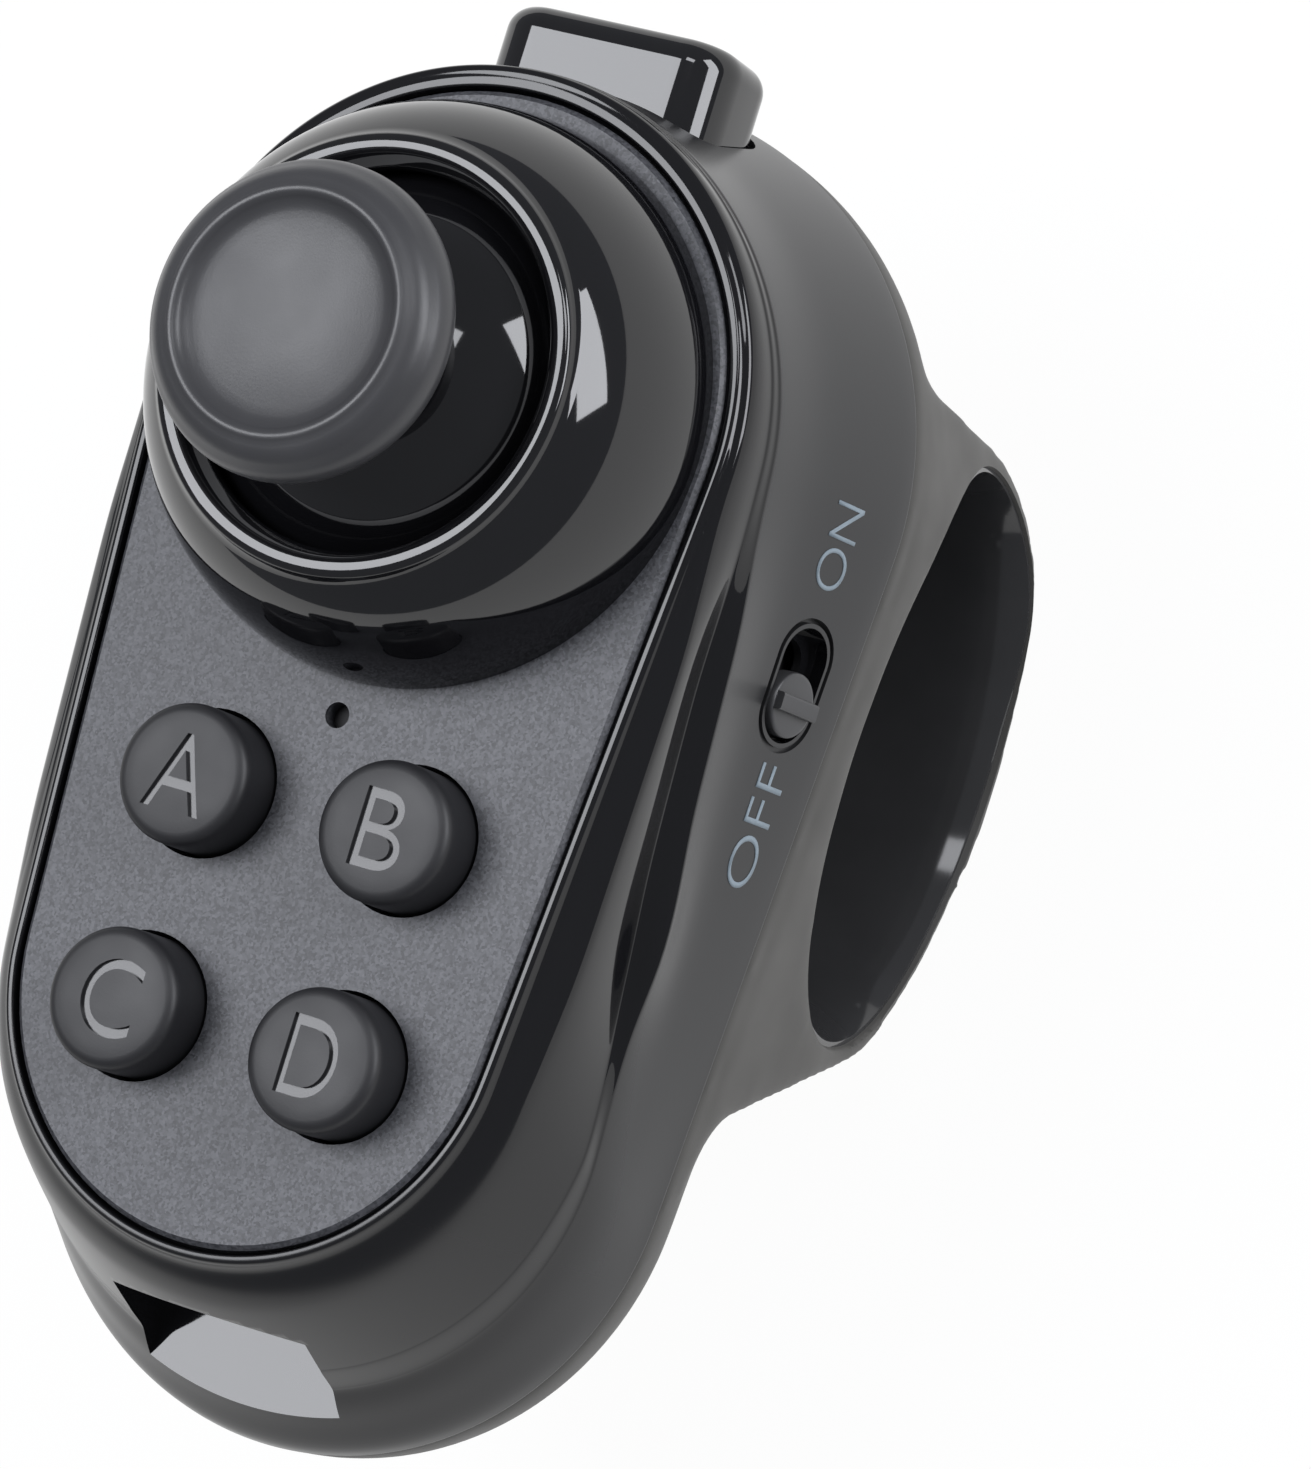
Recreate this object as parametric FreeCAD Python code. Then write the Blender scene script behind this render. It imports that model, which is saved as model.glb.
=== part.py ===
import FreeCAD, Part
import math
import os

# Ring gamepad: a thumb stick and four keys on an egg-shaped body that is worn on a finger.
# It is drawn from the face plate, in millimetres: x to the switch side, y to the trigger end,
# z out of the face, from the centre of the plate's small arc on its front face.
# Each piece is then moved so that the origin is the centre of the finger bore.

V = FreeCAD.Vector
X_AXIS = V(1, 0, 0)
Y_AXIS = V(0, 1, 0)
Z_AXIS = V(0, 0, 1)

# Face plate
plate_big_r = 15.05
plate_small_r = 13.0
plate_centres = 30.45
plate_t = 1.2
plate_gap = 0.3
plate_bevel = 0.25

# Housing: how far each outline stands outside the plate, and its depth below the face
lip_w = 0.45
bezel_w = 0.7
bezel_depth = 1.0
shoulder_big_w = 1.42
shoulder_big_shift = 0.25
shoulder_small_w = 2.6
shoulder_small_shift = 1.3
shoulder_depth = 1.25
shoulder_slope = 0.055
crease_big_w = 1.45
crease_big_shift = 0.25
crease_small_w = 3.6
crease_small_shift = 2.6
crease_depth = 1.5
crease_slope = 0.134
seam_big_w = 4.45
seam_big_shift = 0.45
seam_small_w = 4.6
seam_small_shift = 4.4
seam_depth = 15.0
wall = 1.8
ledge_w = 1.1
hollow_w = 0.9
hollow_depth = 5.0
seam_gap_w = 0.35
seam_gap_h = 0.5
tongue_t = 0.9
tongue_h = 0.9
tongue_gap = 0.15

# Rear cover and finger ring
cover_depth = 21.0
cover_floor_depth = 17.2
cover_round = 4.0
cover_taper = 0.9
ring_draft = 2.0
ring_back_draft = 0.6
bore_y = 21.5
bore_depth = 30.4
bore_mouth_ry = 15.6
bore_mouth_rz = 10.5
bore_waist_ry = 13.8
bore_waist_rz = 9.4
ring_wall = 1.2
ring_foot_back = 5.3
ring_foot_front = 0.9
ring_blend = 5.0
liner_t = 0.8
liner_inset = 0.35
liner_gap = 0.05

# Keys
key_r = 3.55
key_gap = 0.21
key_pitch = 11.4
key_row_y = -2.68
key_height = 3.08
key_round = 0.5
key_travel = 0.8
flange_lap = 0.84
flange_t = 0.7
sleeve_t = 0.94
sleeve_h = 1.2
run_gap = 0.3
stem_r = 1.4
plunger_r = 1.3
tact_w = 4.5
tact_h = 3.0
tact_well = 1.4

# Circuit board and what stands on it
board_depth = 9.6
board_t = 1.0
board_big_r = 13.0
board_small_r = 10.8
board_end_gap = 5.9
led_y = 13.65
led_hole_r = 0.65
pipe_recess = 0.9
led_size = (1.6, 0.9, 0.6)
chip_size = (5.0, 5.0, 0.9)
chip_x = 4.2
chip_back = 12.8
radio_size = (8.0, 4.4, 1.2)
radio_at = (0.0, -7.6)
usb_y = 14.0
usb_size = (7.3, 8.9, 3.2)
usb_wall = 0.35
usb_gap = 0.25
usb_cut = 10.0
usb_inset = 0.4
battery_size = (20.0, 34.0, 4.6)
battery_y = 12.0
pad_t = 0.8

# Thumb stick
stick_back = 0.45
pivot_depth = 2.0
stick_tilt = 13.0
dome_r = 12.6
dome_t = 1.0
dome_polar = 66.0
dome_gap = 0.5
neck_r = 4.2
neck_h = 1.0
cap_r = 7.78
cap_foot_r = 5.9
cap_h = 5.5
cap_lip_r = 6.03
dish_depth = 1.0
shaft_r = 1.6
collar_h = 8.9
collar_margin = 0.48
collar_rim_r = 10.86
foot_drop = 1.8
throat_r = 9.4
plate_opening_r = 13.2
frame_w = 14.5
frame_wall = 0.8
frame_rise = 2.6
pot_w = 8.4
pot_t = 2.2
pin_r = 0.9
pin_gap = 0.05
gimbal_w = 9.0
gimbal_hole = 6.2
gimbal_h = 3.0
cross_pin_r = 0.8
arch_r = 6.1
arch_t = 0.8
arch_w = 5.5
slot_gap = 0.25
spring_r = 3.1
spring_wire = 0.4
spring_turns = 3

# Trigger
trigger_w = 13.2
trigger_front_depth = 5.9
trigger_h = 7.7
trigger_reach = 5.9
trigger_round = 2.4
trigger_edge = 1.1
trigger_travel = 1.0
trigger_wall_y = 13.15
trigger_flange_t = 1.2
trigger_flange_lap = 0.9
trigger_plunger_r = 1.0
trigger_board_size = (10.0, 0.8, 5.2)
trigger_board_gap = 0.35
trigger_tact_t = 2.0

# Power switch on the side wall
switch_y = 21.8
switch_depth = 11.0
switch_lean = 14.0
switch_slot = (5.9, 3.4)
switch_groove = (6.8, 4.2)
switch_rim_w = 0.25
switch_groove_t = 0.3
switch_recess = 1.0
knob_r = 1.65
knob_proud = 0.25
knob_rib = (0.9, 0.45)
knob_stem_r = 0.9
knob_travel = 2.0
switch_seat = 2.3
switch_seat_size = (4.0, 8.4)
switch_body_size = (7.0, 4.0, 2.2)

# Screws and board rests
screw_front = (10.6, 10.75)
screw_back = (9.5, -11.0)
screw_r = 0.8
screw_head_r = 1.5
screw_head_h = 1.1
screw_len = 8.0
post_r = 2.0
post_h = 9.4
rest_r = 1.2
rests = ((12.3, 2.5), (13.0, 20.5))

# Recess in the chin, with a slanted floor that starts at its lower edge
recess_w = 11.2
recess_top = 4.9
recess_h = 7.0
recess_step = 1.4
recess_wall = 1.2

# Worked out from the sizes above
big_y = plate_centres
stick_y = big_y - stick_back
key_hole_r = key_r + key_gap
flange_r = key_hole_r + flange_lap
flange_top = -(plate_t + sleeve_h + run_gap)
tact_top = -board_depth + tact_h
stem_end = tact_top + key_travel + 0.2
crease_big_r = plate_big_r + crease_big_w
crease_small_r = plate_small_r + crease_small_w
seam_big_r = plate_big_r + seam_big_w
seam_small_r = plate_small_r + seam_small_w
seam_big_y = big_y - seam_big_shift
dome_top = dome_r - pivot_depth
cap_base = dome_top + neck_h
cap_top = cap_base + cap_h
collar_base_r = plate_big_r - collar_margin
board_big_y = big_y + plate_big_r - board_end_gap - board_big_r
frame_half = frame_w / 2
trigger_z = -(trigger_front_depth + trigger_h / 2)
trigger_stop_y = big_y + trigger_wall_y
keys = {
    "a": (-key_pitch / 2, key_row_y + key_pitch),
    "b": (key_pitch / 2, key_row_y + key_pitch),
    "c": (-key_pitch / 2, key_row_y),
    "d": (key_pitch / 2, key_row_y),
}
screw_points = [(side * x, y) for x, y in ((screw_front[0], big_y + screw_front[1]), screw_back)
                for side in (-1, 1)]


def export(name, shape):
    """Move a piece to the bore's centre, check it and write it."""
    moved = shape.copy()
    moved.translate(V(0, -bore_y, bore_depth))
    if not moved.isValid():
        raise ValueError(name + " is not valid")
    moved.exportStep("parts/" + name + ".step")
    print(name, len(moved.Solids), round(moved.Volume, 1))


def box(x0, x1, y0, y1, z0, z1):
    return Part.makeBox(x1 - x0, y1 - y0, z1 - z0, V(x0, y0, z0))


def block(size, x, y, z):
    """A box of a size, centred on x and y, standing on z."""
    return box(x - size[0] / 2, x + size[0] / 2, y - size[1] / 2, y + size[1] / 2, z, z + size[2])


def rod(r, length, base, axis=Z_AXIS):
    return Part.makeCylinder(r, length, base, axis)


def egg_wire(big_r, small_r, y_big, y_small, z, slope=0.0):
    """Two arcs joined by tangent lines, level at z or sloping down from the big end."""
    lean = math.asin((big_r - small_r) / (y_big - y_small))
    across = math.cos(lean)
    down = -math.sin(lean)
    big_right = V(big_r * across, y_big + big_r * down, 0)
    big_left = V(-big_r * across, y_big + big_r * down, 0)
    small_right = V(small_r * across, y_small + small_r * down, 0)
    small_left = V(-small_r * across, y_small + small_r * down, 0)
    wire = Part.Wire([
        Part.Arc(big_right, V(0, y_big + big_r, 0), big_left).toShape(),
        Part.LineSegment(big_left, small_left).toShape(),
        Part.Arc(small_left, V(0, y_small - small_r, 0), small_right).toShape(),
        Part.LineSegment(small_right, big_right).toShape(),
    ])
    wire.rotate(V(0, y_big + big_r, 0), X_AXIS, math.degrees(math.atan(slope)))
    wire.translate(V(0, 0, z))
    return wire


def plate_egg(offset, z):
    return egg_wire(plate_big_r + offset, plate_small_r + offset, big_y, 0.0, z)


def seam_egg(offset, z):
    return egg_wire(seam_big_r + offset, seam_small_r + offset, seam_big_y, -seam_small_shift, z)


def prism(wire, height):
    return Part.Face(wire).extrude(V(0, 0, height))


def stadium(length, width, height):
    """A slot shape along y, centred, from z = 0 up."""
    r = width / 2
    run = length / 2 - r
    wire = Part.Wire([
        Part.LineSegment(V(r, -run, 0), V(r, run, 0)).toShape(),
        Part.Arc(V(r, run, 0), V(0, run + r, 0), V(-r, run, 0)).toShape(),
        Part.LineSegment(V(-r, run, 0), V(-r, -run, 0)).toShape(),
        Part.Arc(V(-r, -run, 0), V(0, -run - r, 0), V(r, -run, 0)).toShape(),
    ])
    return prism(wire, height)


def turned(edges, y):
    """Turn a closed profile in the xz plane about the z axis through (0, y)."""
    solid = Part.Face(Part.Wire(edges)).revolve(V(0, 0, 0), Z_AXIS, 360)
    solid.translate(V(0, y, 0))
    return solid


def line(a, b):
    return Part.LineSegment(V(a[0], 0, a[1]), V(b[0], 0, b[1])).toShape()


def arc(a, b, c):
    return Part.Arc(V(a[0], 0, a[1]), V(b[0], 0, b[1]), V(c[0], 0, c[1])).toShape()


def polyline(points):
    return [line(a, b) for a, b in zip(points, points[1:])]


def sphere_z(r, radius):
    """Height of a sphere about the stick's pivot at a distance from its axis."""
    return math.sqrt(radius ** 2 - r ** 2) - pivot_depth


def housing_outside():
    """The housing's outer form: lip, bezel, a shoulder and a crease that slope to the tail, and the seam."""
    shoulder = egg_wire(plate_big_r + shoulder_big_w, plate_small_r + shoulder_small_w,
                        big_y - shoulder_big_shift, -shoulder_small_shift, -shoulder_depth, shoulder_slope)
    crease = egg_wire(crease_big_r, crease_small_r, big_y - crease_big_shift, -crease_small_shift,
                      -crease_depth, crease_slope)
    return Part.makeLoft([
        plate_egg(plate_gap + lip_w, 0),
        plate_egg(plate_gap + lip_w + bezel_w, -bezel_depth),
        shoulder,
        crease,
        seam_egg(0, -seam_depth),
    ], True, True)


def housing_cavity():
    """The hollow below the plate's ledge, widening to the seam with a straight mouth for the tongue."""
    opening = plate_gap - ledge_w
    mouth_h = tongue_h + 0.3
    hollow = Part.makeLoft([
        plate_egg(opening, -plate_t / 2),
        plate_egg(opening, -plate_t),
        plate_egg(opening + hollow_w, -hollow_depth),
        seam_egg(-wall, -seam_depth - 0.001),
    ], True, True)
    return hollow.fuse(prism(seam_egg(-wall, -seam_depth - 0.001), mouth_h))


def on_wall(shape):
    """Place a shape drawn about z = 0, z outward, on the side wall at the switch."""
    placed = shape.copy()
    placed.rotate(V(0, 0, 0), Y_AXIS, 90 - switch_lean)
    placed.translate(V(switch_face_x(), switch_y, -switch_depth))
    return placed


def switch_face_x():
    """How far out the side wall stands at the switch."""
    share = (switch_depth - crease_face_depth(switch_y)) / (seam_depth - crease_face_depth(switch_y))
    along = (switch_y + seam_small_shift) / (seam_big_y + seam_small_shift)
    crease_half = crease_small_r + (crease_big_r - crease_small_r) * along
    seam_half = seam_small_r + (seam_big_r - seam_small_r) * along
    return crease_half + (seam_half - crease_half) * share


def crease_face_depth(y):
    return crease_depth + crease_slope * (big_y - crease_big_shift + crease_big_r - y)


def trigger_section(gap, y0, y1):
    """The trigger's rounded rectangle, run along y."""
    half = trigger_w / 2 + gap
    tall = trigger_h / 2 + gap
    solid = box(-half, half, y0, y1, trigger_z - tall, trigger_z + tall)
    long_edges = [e for e in solid.Edges if abs(e.BoundBox.YLength - (y1 - y0)) < 0.001]
    return solid.makeFillet(trigger_round + gap, long_edges)


def front_housing():
    pocket_half = trigger_w / 2 + trigger_flange_lap + run_gap
    pocket_tall = trigger_h / 2 + trigger_flange_lap * 0.5 + run_gap
    outside = housing_outside()
    body = outside.cut(housing_cavity())
    body = body.cut(prism(plate_egg(plate_gap, -plate_t), plate_t + 1))
    posts = [rod(post_r, post_h, V(x, y, -cover_floor_depth)) for x, y in screw_points]
    posts += [rod(rest_r, board_depth - plate_t, V(side * x, y, -board_depth))
              for x, y in rests for side in (-1, 1)]
    seat = block((*switch_seat_size, switch_seat - switch_recess), 0, 0, -switch_seat)
    chin_half = recess_w / 2 + recess_wall
    chin = box(-chin_half, chin_half, -seam_small_shift - seam_small_r,
               -plate_small_r - recess_step + recess_wall, -recess_top - recess_h / 2, -plate_t)
    body = body.fuse([piece.common(outside) for piece in [on_wall(seat), chin] + posts])
    body = body.cut(box(-pocket_half, pocket_half, stick_y, trigger_stop_y,
                        trigger_z - pocket_tall, trigger_z + pocket_tall))
    body = body.cut(trigger_section(run_gap, stick_y, big_y + seam_big_r + 5))
    body = body.cut([rod(screw_r + 0.05, screw_len - 0.5, V(x, y, -cover_floor_depth)) for x, y in screw_points])
    return cut_switch(cut_recess(cut_usb(body), outside))


def cut_usb(body):
    """Open the left wall for the charging port."""
    wide = usb_size[1] / 2 + usb_gap
    return body.cut(box(-seam_big_r - 1, usb_cut - seam_big_r, usb_y - wide, usb_y + wide,
                        -board_depth - usb_gap, -board_depth + usb_size[2] + usb_gap))


def cut_switch(body):
    """A stadium recess inside a fine groove, with a slot for the knob's stem through its floor."""
    groove = stadium(*switch_groove, switch_groove_t + 2)
    groove.translate(V(0, 0, -switch_groove_t))
    groove = groove.cut(stadium_at(switch_groove[0] - 2 * switch_rim_w,
                                   switch_groove[1] - 2 * switch_rim_w, -2, 5))
    recess = stadium_at(*switch_slot, -switch_recess, 5)
    slot = stadium_at(2 * (knob_stem_r + run_gap) + knob_travel, 2 * (knob_stem_r + run_gap), -4, 5)
    return body.cut([on_wall(groove), on_wall(recess), on_wall(slot)])


def stadium_at(length, width, z, height):
    solid = stadium(length, width, height)
    solid.translate(V(0, 0, z))
    return solid


def cut_recess(body, outside):
    """Let a recess into the chin. Its floor is the outside leant in about the recess's lower edge."""
    low = -recess_top - recess_h
    edge_y = -crease_small_shift - crease_small_r
    floor = outside.copy()
    floor.rotate(V(0, edge_y, low), X_AXIS, -math.degrees(math.atan(recess_step / recess_h)))
    opening = box(-recess_w / 2, recess_w / 2, edge_y - 3, 0, low, -recess_top)
    return body.cut(opening.cut(floor))


def face_plate():
    solid = prism(plate_egg(0, -plate_t), plate_t)
    rim = [e for e in solid.Edges if e.BoundBox.ZMin > -0.001]
    solid = solid.makeChamfer(plate_bevel, rim)
    sleeves = [rod(key_hole_r + sleeve_t, plate_t / 2 + sleeve_h, V(x, y, -plate_t - sleeve_h))
               for x, y in keys.values()]
    solid = solid.fuse(sleeves)
    holes = [rod(key_hole_r, 10, V(x, y, -5)) for x, y in keys.values()]
    holes.append(rod(led_hole_r, 10, V(0, led_y, -5)))
    holes.append(rod(plate_opening_r, 10, V(0, stick_y, -5)))
    holes += [rod(peg_r() + 0.02, 10, point) for point in peg_points(-5)]
    return solid.cut(holes)


def peg_r():
    return (collar_base_r - plate_opening_r) / 2 - 0.27


def peg_points(z):
    """Three pegs hold the collar on the plate."""
    reach = (collar_base_r + plate_opening_r) / 2
    turns = [math.radians(a) for a in (90, 210, 330)]
    return [V(reach * math.cos(t), stick_y + reach * math.sin(t), z) for t in turns]


def stick_collar():
    """A convex cone with a rounded rim, hollow to the ball of the stick's dome."""
    ball = dome_r + dome_gap
    base_in = (math.sqrt(ball ** 2 - pivot_depth ** 2), 0)
    throat_low = (throat_r, sphere_z(throat_r, ball))
    mid_r = (base_in[0] + throat_r) / 2 + 0.3
    edges = [
        line(base_in, (collar_base_r, 0)),
        line((collar_base_r, 0), (collar_base_r, 0.6)),
        arc((collar_base_r, 0.6), (collar_base_r - 1.17, 0.585 * collar_h),
            (collar_rim_r + 0.09, collar_h - 0.45)),
        arc((collar_rim_r + 0.09, collar_h - 0.45), (collar_rim_r - 0.5, collar_h),
            (throat_r + 0.45, collar_h - 0.3)),
        line((throat_r + 0.45, collar_h - 0.3), (throat_r, collar_h - 1.1)),
        line((throat_r, collar_h - 1.1), throat_low),
        arc(throat_low, (mid_r, sphere_z(mid_r, ball)), base_in),
    ]
    pegs = [rod(peg_r(), plate_t + 0.3, point) for point in peg_points(-plate_t)]
    return turned(edges, stick_y).fuse(pegs)


def ring_leg(side, spread):
    """Where a straight leg leaves the ring's lower ellipse, and its foot where the cover's edge starts to round."""
    ry = bore_mouth_ry + ring_wall
    rz = bore_mouth_rz + ring_wall
    foot = V(0, side * (ry + spread), bore_depth - cover_depth + cover_round)
    along = math.atan2(foot.z / rz, foot.y / ry)
    swing = math.acos(1 / math.hypot(foot.y / ry, foot.z / rz))
    turn = along - side * swing
    return V(0, ry * math.cos(turn), rz * math.sin(turn)), foot


def blend_arc(touch, foot, side):
    """The concave arc from a leg to the cover's underside."""
    up = (foot - touch).normalize()
    out = V(0, side * up.z, -side * up.y)
    shift = ring_blend * (1 - abs(up.y)) / up.z
    centre = foot + V(0, side * shift, -ring_blend)
    middle = (V(0, 0, 1) - out).normalize()
    return Part.Arc(centre - out * ring_blend, centre + middle * ring_blend,
                    centre + V(0, 0, ring_blend)).toShape()


def ring_outline():
    """The ring's side view: an ellipse's lower arc, two legs and the concave arcs at their feet."""
    ry = bore_mouth_ry + ring_wall
    rz = bore_mouth_rz + ring_wall
    back_touch, back_foot = ring_leg(-1, ring_foot_back)
    front_touch, front_foot = ring_leg(1, ring_foot_front)
    ellipse = Part.Ellipse(V(0, ry, 0), V(0, 0, rz), V(0, 0, 0))
    bottom = Part.ArcOfEllipse(ellipse, ellipse.parameter(back_touch), ellipse.parameter(front_touch))
    back_arc = blend_arc(back_touch, back_foot, -1)
    back_low, back_high = [back_arc.valueAt(p) for p in back_arc.ParameterRange]
    wire = Part.Wire([
        bottom.toShape(),
        Part.LineSegment(front_touch, front_foot).toShape(),
        Part.LineSegment(front_foot, back_high).toShape(),
        back_arc,
        Part.LineSegment(back_low, back_touch).toShape(),
    ])
    wire.translate(V(0, bore_y, -bore_depth))
    return wire


def bore_loft(offset):
    """The finger bore, grown by an offset: oval, narrowest halfway."""
    half = seam_big_r + 0.5
    sections = []
    for x, ry, rz in ((-half, bore_mouth_ry, bore_mouth_rz), (0, bore_waist_ry, bore_waist_rz),
                      (half, bore_mouth_ry, bore_mouth_rz)):
        centre = V(x, bore_y, -bore_depth)
        ellipse = Part.Ellipse(centre + V(0, ry + offset, 0), centre + V(0, 0, rz + offset), centre)
        sections.append(Part.Wire(ellipse.toShape()))
    return Part.makeLoft(sections, True, False)


def ring_limit(inset):
    """The body's outline carried down past the ring, which trims its two mouths."""
    deep = bore_depth + bore_mouth_rz + ring_wall + 3
    return Part.makeLoft([
        seam_egg(-inset, -seam_depth),
        egg_wire(seam_big_r - inset - ring_draft, seam_small_r - inset - ring_back_draft,
                 seam_big_y, -seam_small_shift, -deep),
    ], True, True)


def rear_cover():
    tub = Part.makeLoft([
        seam_egg(0, -seam_depth),
        egg_wire(seam_big_r - cover_taper, seam_small_r - cover_taper,
                 seam_big_y + cover_taper, -seam_small_shift - cover_taper, -cover_depth),
    ], True, True)
    bottom = [e for e in tub.Edges if e.BoundBox.ZMax < -cover_depth + 0.001]
    tub = tub.makeFillet(min(cover_round, 0.8 * (cover_depth - seam_depth)), bottom)
    ring = Part.Face(ring_outline()).extrude(V(2 * seam_big_r + 4, 0, 0))
    ring.translate(V(-seam_big_r - 2, 0, 0))
    body = tub.fuse(ring.common(ring_limit(0)))
    body = body.cut(prism(seam_egg(-wall, -cover_floor_depth), cover_depth))
    groove = prism(seam_egg(1, -seam_depth - seam_gap_h), seam_gap_h + 1)
    body = body.cut(groove.cut(prism(seam_egg(-seam_gap_w, -cover_depth), cover_depth)))
    tongue = prism(seam_egg(-wall - tongue_gap, -cover_floor_depth), cover_floor_depth - seam_depth + tongue_h)
    tongue = tongue.cut(prism(seam_egg(-wall - tongue_gap - tongue_t, -cover_floor_depth), 10))
    foot = prism(seam_egg(-wall + 0.01, -cover_floor_depth), cover_floor_depth - seam_depth)
    foot = foot.cut(prism(seam_egg(-wall - tongue_gap - tongue_t, -cover_floor_depth), 10))
    body = body.fuse([tongue, foot])
    body = body.cut([rod(post_r + run_gap, 10, V(x, y, -cover_floor_depth)) for x, y in screw_points])
    body = body.cut([rod(screw_r + 0.1, 10, V(x, y, -cover_depth - 1)) for x, y in screw_points])
    body = body.cut([rod(screw_head_r + 0.2, 5, V(x, y, screw_seat_z() - 5)) for x, y in screw_points])
    return body.cut(bore_loft(liner_t + liner_gap))


def screw_seat_z():
    return -(cover_floor_depth + cover_depth) / 2


def ring_liner():
    sleeve = bore_loft(liner_t).cut(bore_loft(0))
    return sleeve.common(ring_limit(liner_inset))


def light_pipe():
    base = -board_depth + led_size[2]
    rise = rod(led_hole_r - 0.05, -base - pipe_recess, V(0, led_y, base))
    collar = rod(2 * led_hole_r, 0.6, V(0, led_y, -plate_t - 0.6))
    return rise.fuse(collar)


def main_pcb():
    return prism(egg_wire(board_big_r, board_small_r, board_big_y, 0.0, -board_depth - board_t), board_t)


def key_switch(x, y):
    body = block((tact_w, tact_w, tact_h), x, y, -board_depth)
    return body.cut(rod(plunger_r + run_gap, tact_well + 1, V(x, y, tact_top - tact_well)))


def key_plunger(x, y):
    low = tact_top - 0.2
    return rod(plunger_r, stem_end - low, V(x, y, low))


def button(x, y):
    """A round key with a soft edge, a flange under the plate and a stem."""
    cap = rod(key_r, key_height - flange_top + flange_t / 2, V(0, 0, flange_top - flange_t / 2))
    top = [e for e in cap.Edges if e.BoundBox.ZMin > key_height - 0.001]
    cap = cap.makeFillet(key_round, top)
    flange = rod(flange_r, flange_t, V(0, 0, flange_top - flange_t))
    stem = rod(stem_r, flange_top - flange_t / 2 - stem_end, V(0, 0, stem_end))
    solid = cap.fuse([flange, stem])
    solid.translate(V(x, y, 0))
    return solid


def usb_port():
    """A board-mounted socket whose mouth lies just inside the left wall."""
    long, wide, tall = usb_size
    mouth_x = -switch_face_x() + 1.2 + usb_inset
    shell = box(mouth_x, mouth_x + long, usb_y - wide / 2, usb_y + wide / 2, -board_depth, -board_depth + tall)
    ends = [e for e in shell.Edges if abs(e.BoundBox.XLength - long) < 0.001]
    shell = shell.makeFillet(tall * 0.3, ends)
    hollow = box(mouth_x - 1, mouth_x + long - 1.2, usb_y - wide / 2 + usb_wall, usb_y + wide / 2 - usb_wall,
                 -board_depth + usb_wall, -board_depth + tall - usb_wall)
    tongue = box(mouth_x + 0.8, mouth_x + long - 0.6, usb_y - wide * 0.36, usb_y + wide * 0.36,
                 -board_depth + tall / 2 - 0.35, -board_depth + tall / 2 + 0.35)
    return shell.cut(hollow).fuse(tongue)


def housing_screws():
    screws = []
    for x, y in screw_points:
        seat = screw_seat_z()
        head = rod(screw_head_r, screw_head_h, V(x, y, seat - screw_head_h))
        shank = rod(screw_r, screw_len, V(x, y, seat))
        cross = [block((0.35, 1.6, 0.6), x, y, seat - screw_head_h),
                 block((1.6, 0.35, 0.6), x, y, seat - screw_head_h)]
        screws.append(head.fuse(shank).cut(cross))
    return Part.makeCompound(screws)


def stick_frame():
    """An open box whose four walls carry the pins of the gimbal and of the arch."""
    base = -board_depth
    outer = box(-frame_half, frame_half, stick_y - frame_half, stick_y + frame_half,
                base, frame_rise - pivot_depth)
    inner = frame_half - frame_wall
    hollow = box(-inner, inner, stick_y - inner, stick_y + inner, base + frame_wall, 5)
    hole_r = pin_r + pin_gap
    pins = [rod(hole_r, 2 * frame_w, V(-frame_w, stick_y, -pivot_depth), X_AXIS),
            rod(hole_r, 2 * frame_w, V(0, stick_y - frame_w, -pivot_depth), Y_AXIS)]
    return outer.cut([hollow] + pins)


def stick_pot():
    """A sensor box on the frame's +x side, bored for the rotor pin."""
    body = box(frame_half, frame_half + pot_t, stick_y - pot_w / 2, stick_y + pot_w / 2,
               -board_depth, frame_rise + 0.6 - pivot_depth)
    return body.cut(rod(pin_r + pin_gap, pot_t * 0.6, V(frame_half, stick_y, -pivot_depth), X_AXIS))


def gimbal_ring():
    """A square ring that turns about x, with the stick's cross pin bored along y."""
    ring = block((gimbal_w, gimbal_w, gimbal_h), 0, stick_y, -pivot_depth - gimbal_h / 2)
    ring = ring.cut(block((gimbal_hole, gimbal_hole, gimbal_h), 0, stick_y, -pivot_depth - gimbal_h / 2))
    half = gimbal_w / 2
    inside = half - (gimbal_w - gimbal_hole) / 4
    pins = [rod(pin_r, frame_half + pot_t * 0.5 - inside, V(inside, stick_y, -pivot_depth), X_AXIS),
            rod(pin_r, frame_half - inside, V(-frame_half, stick_y, -pivot_depth), X_AXIS)]
    ring = ring.fuse(pins)
    return ring.cut(rod(cross_pin_r + pin_gap, 2 * gimbal_w, V(0, stick_y - gimbal_w, -pivot_depth), Y_AXIS))


def rocker_arch():
    """A slotted arch that turns about y, which the stick's shaft pushes to either side."""
    centre = V(-arch_w / 2, stick_y, -pivot_depth)
    arch = rod(arch_r, arch_w, centre, X_AXIS).cut(rod(arch_r - arch_t, arch_w, centre, X_AXIS))
    arch = arch.cut(box(-arch_w, arch_w, stick_y - 10, stick_y + 10, -pivot_depth - 10, -pivot_depth - pin_r))
    reach = arch_r * math.sin(math.radians(2 * stick_tilt + 6))
    slot = shaft_r + slot_gap
    arch = arch.cut(box(-slot, slot, stick_y - reach, stick_y + reach, -pivot_depth, 10))
    inside = arch_r - arch_t / 2
    pins = [rod(pin_r, frame_half + pot_t * 0.5 - inside, V(0, stick_y - inside, -pivot_depth), V(0, -1, 0)),
            rod(pin_r, frame_half - inside, V(0, stick_y + inside, -pivot_depth), Y_AXIS)]
    return arch.fuse(pins)


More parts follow.
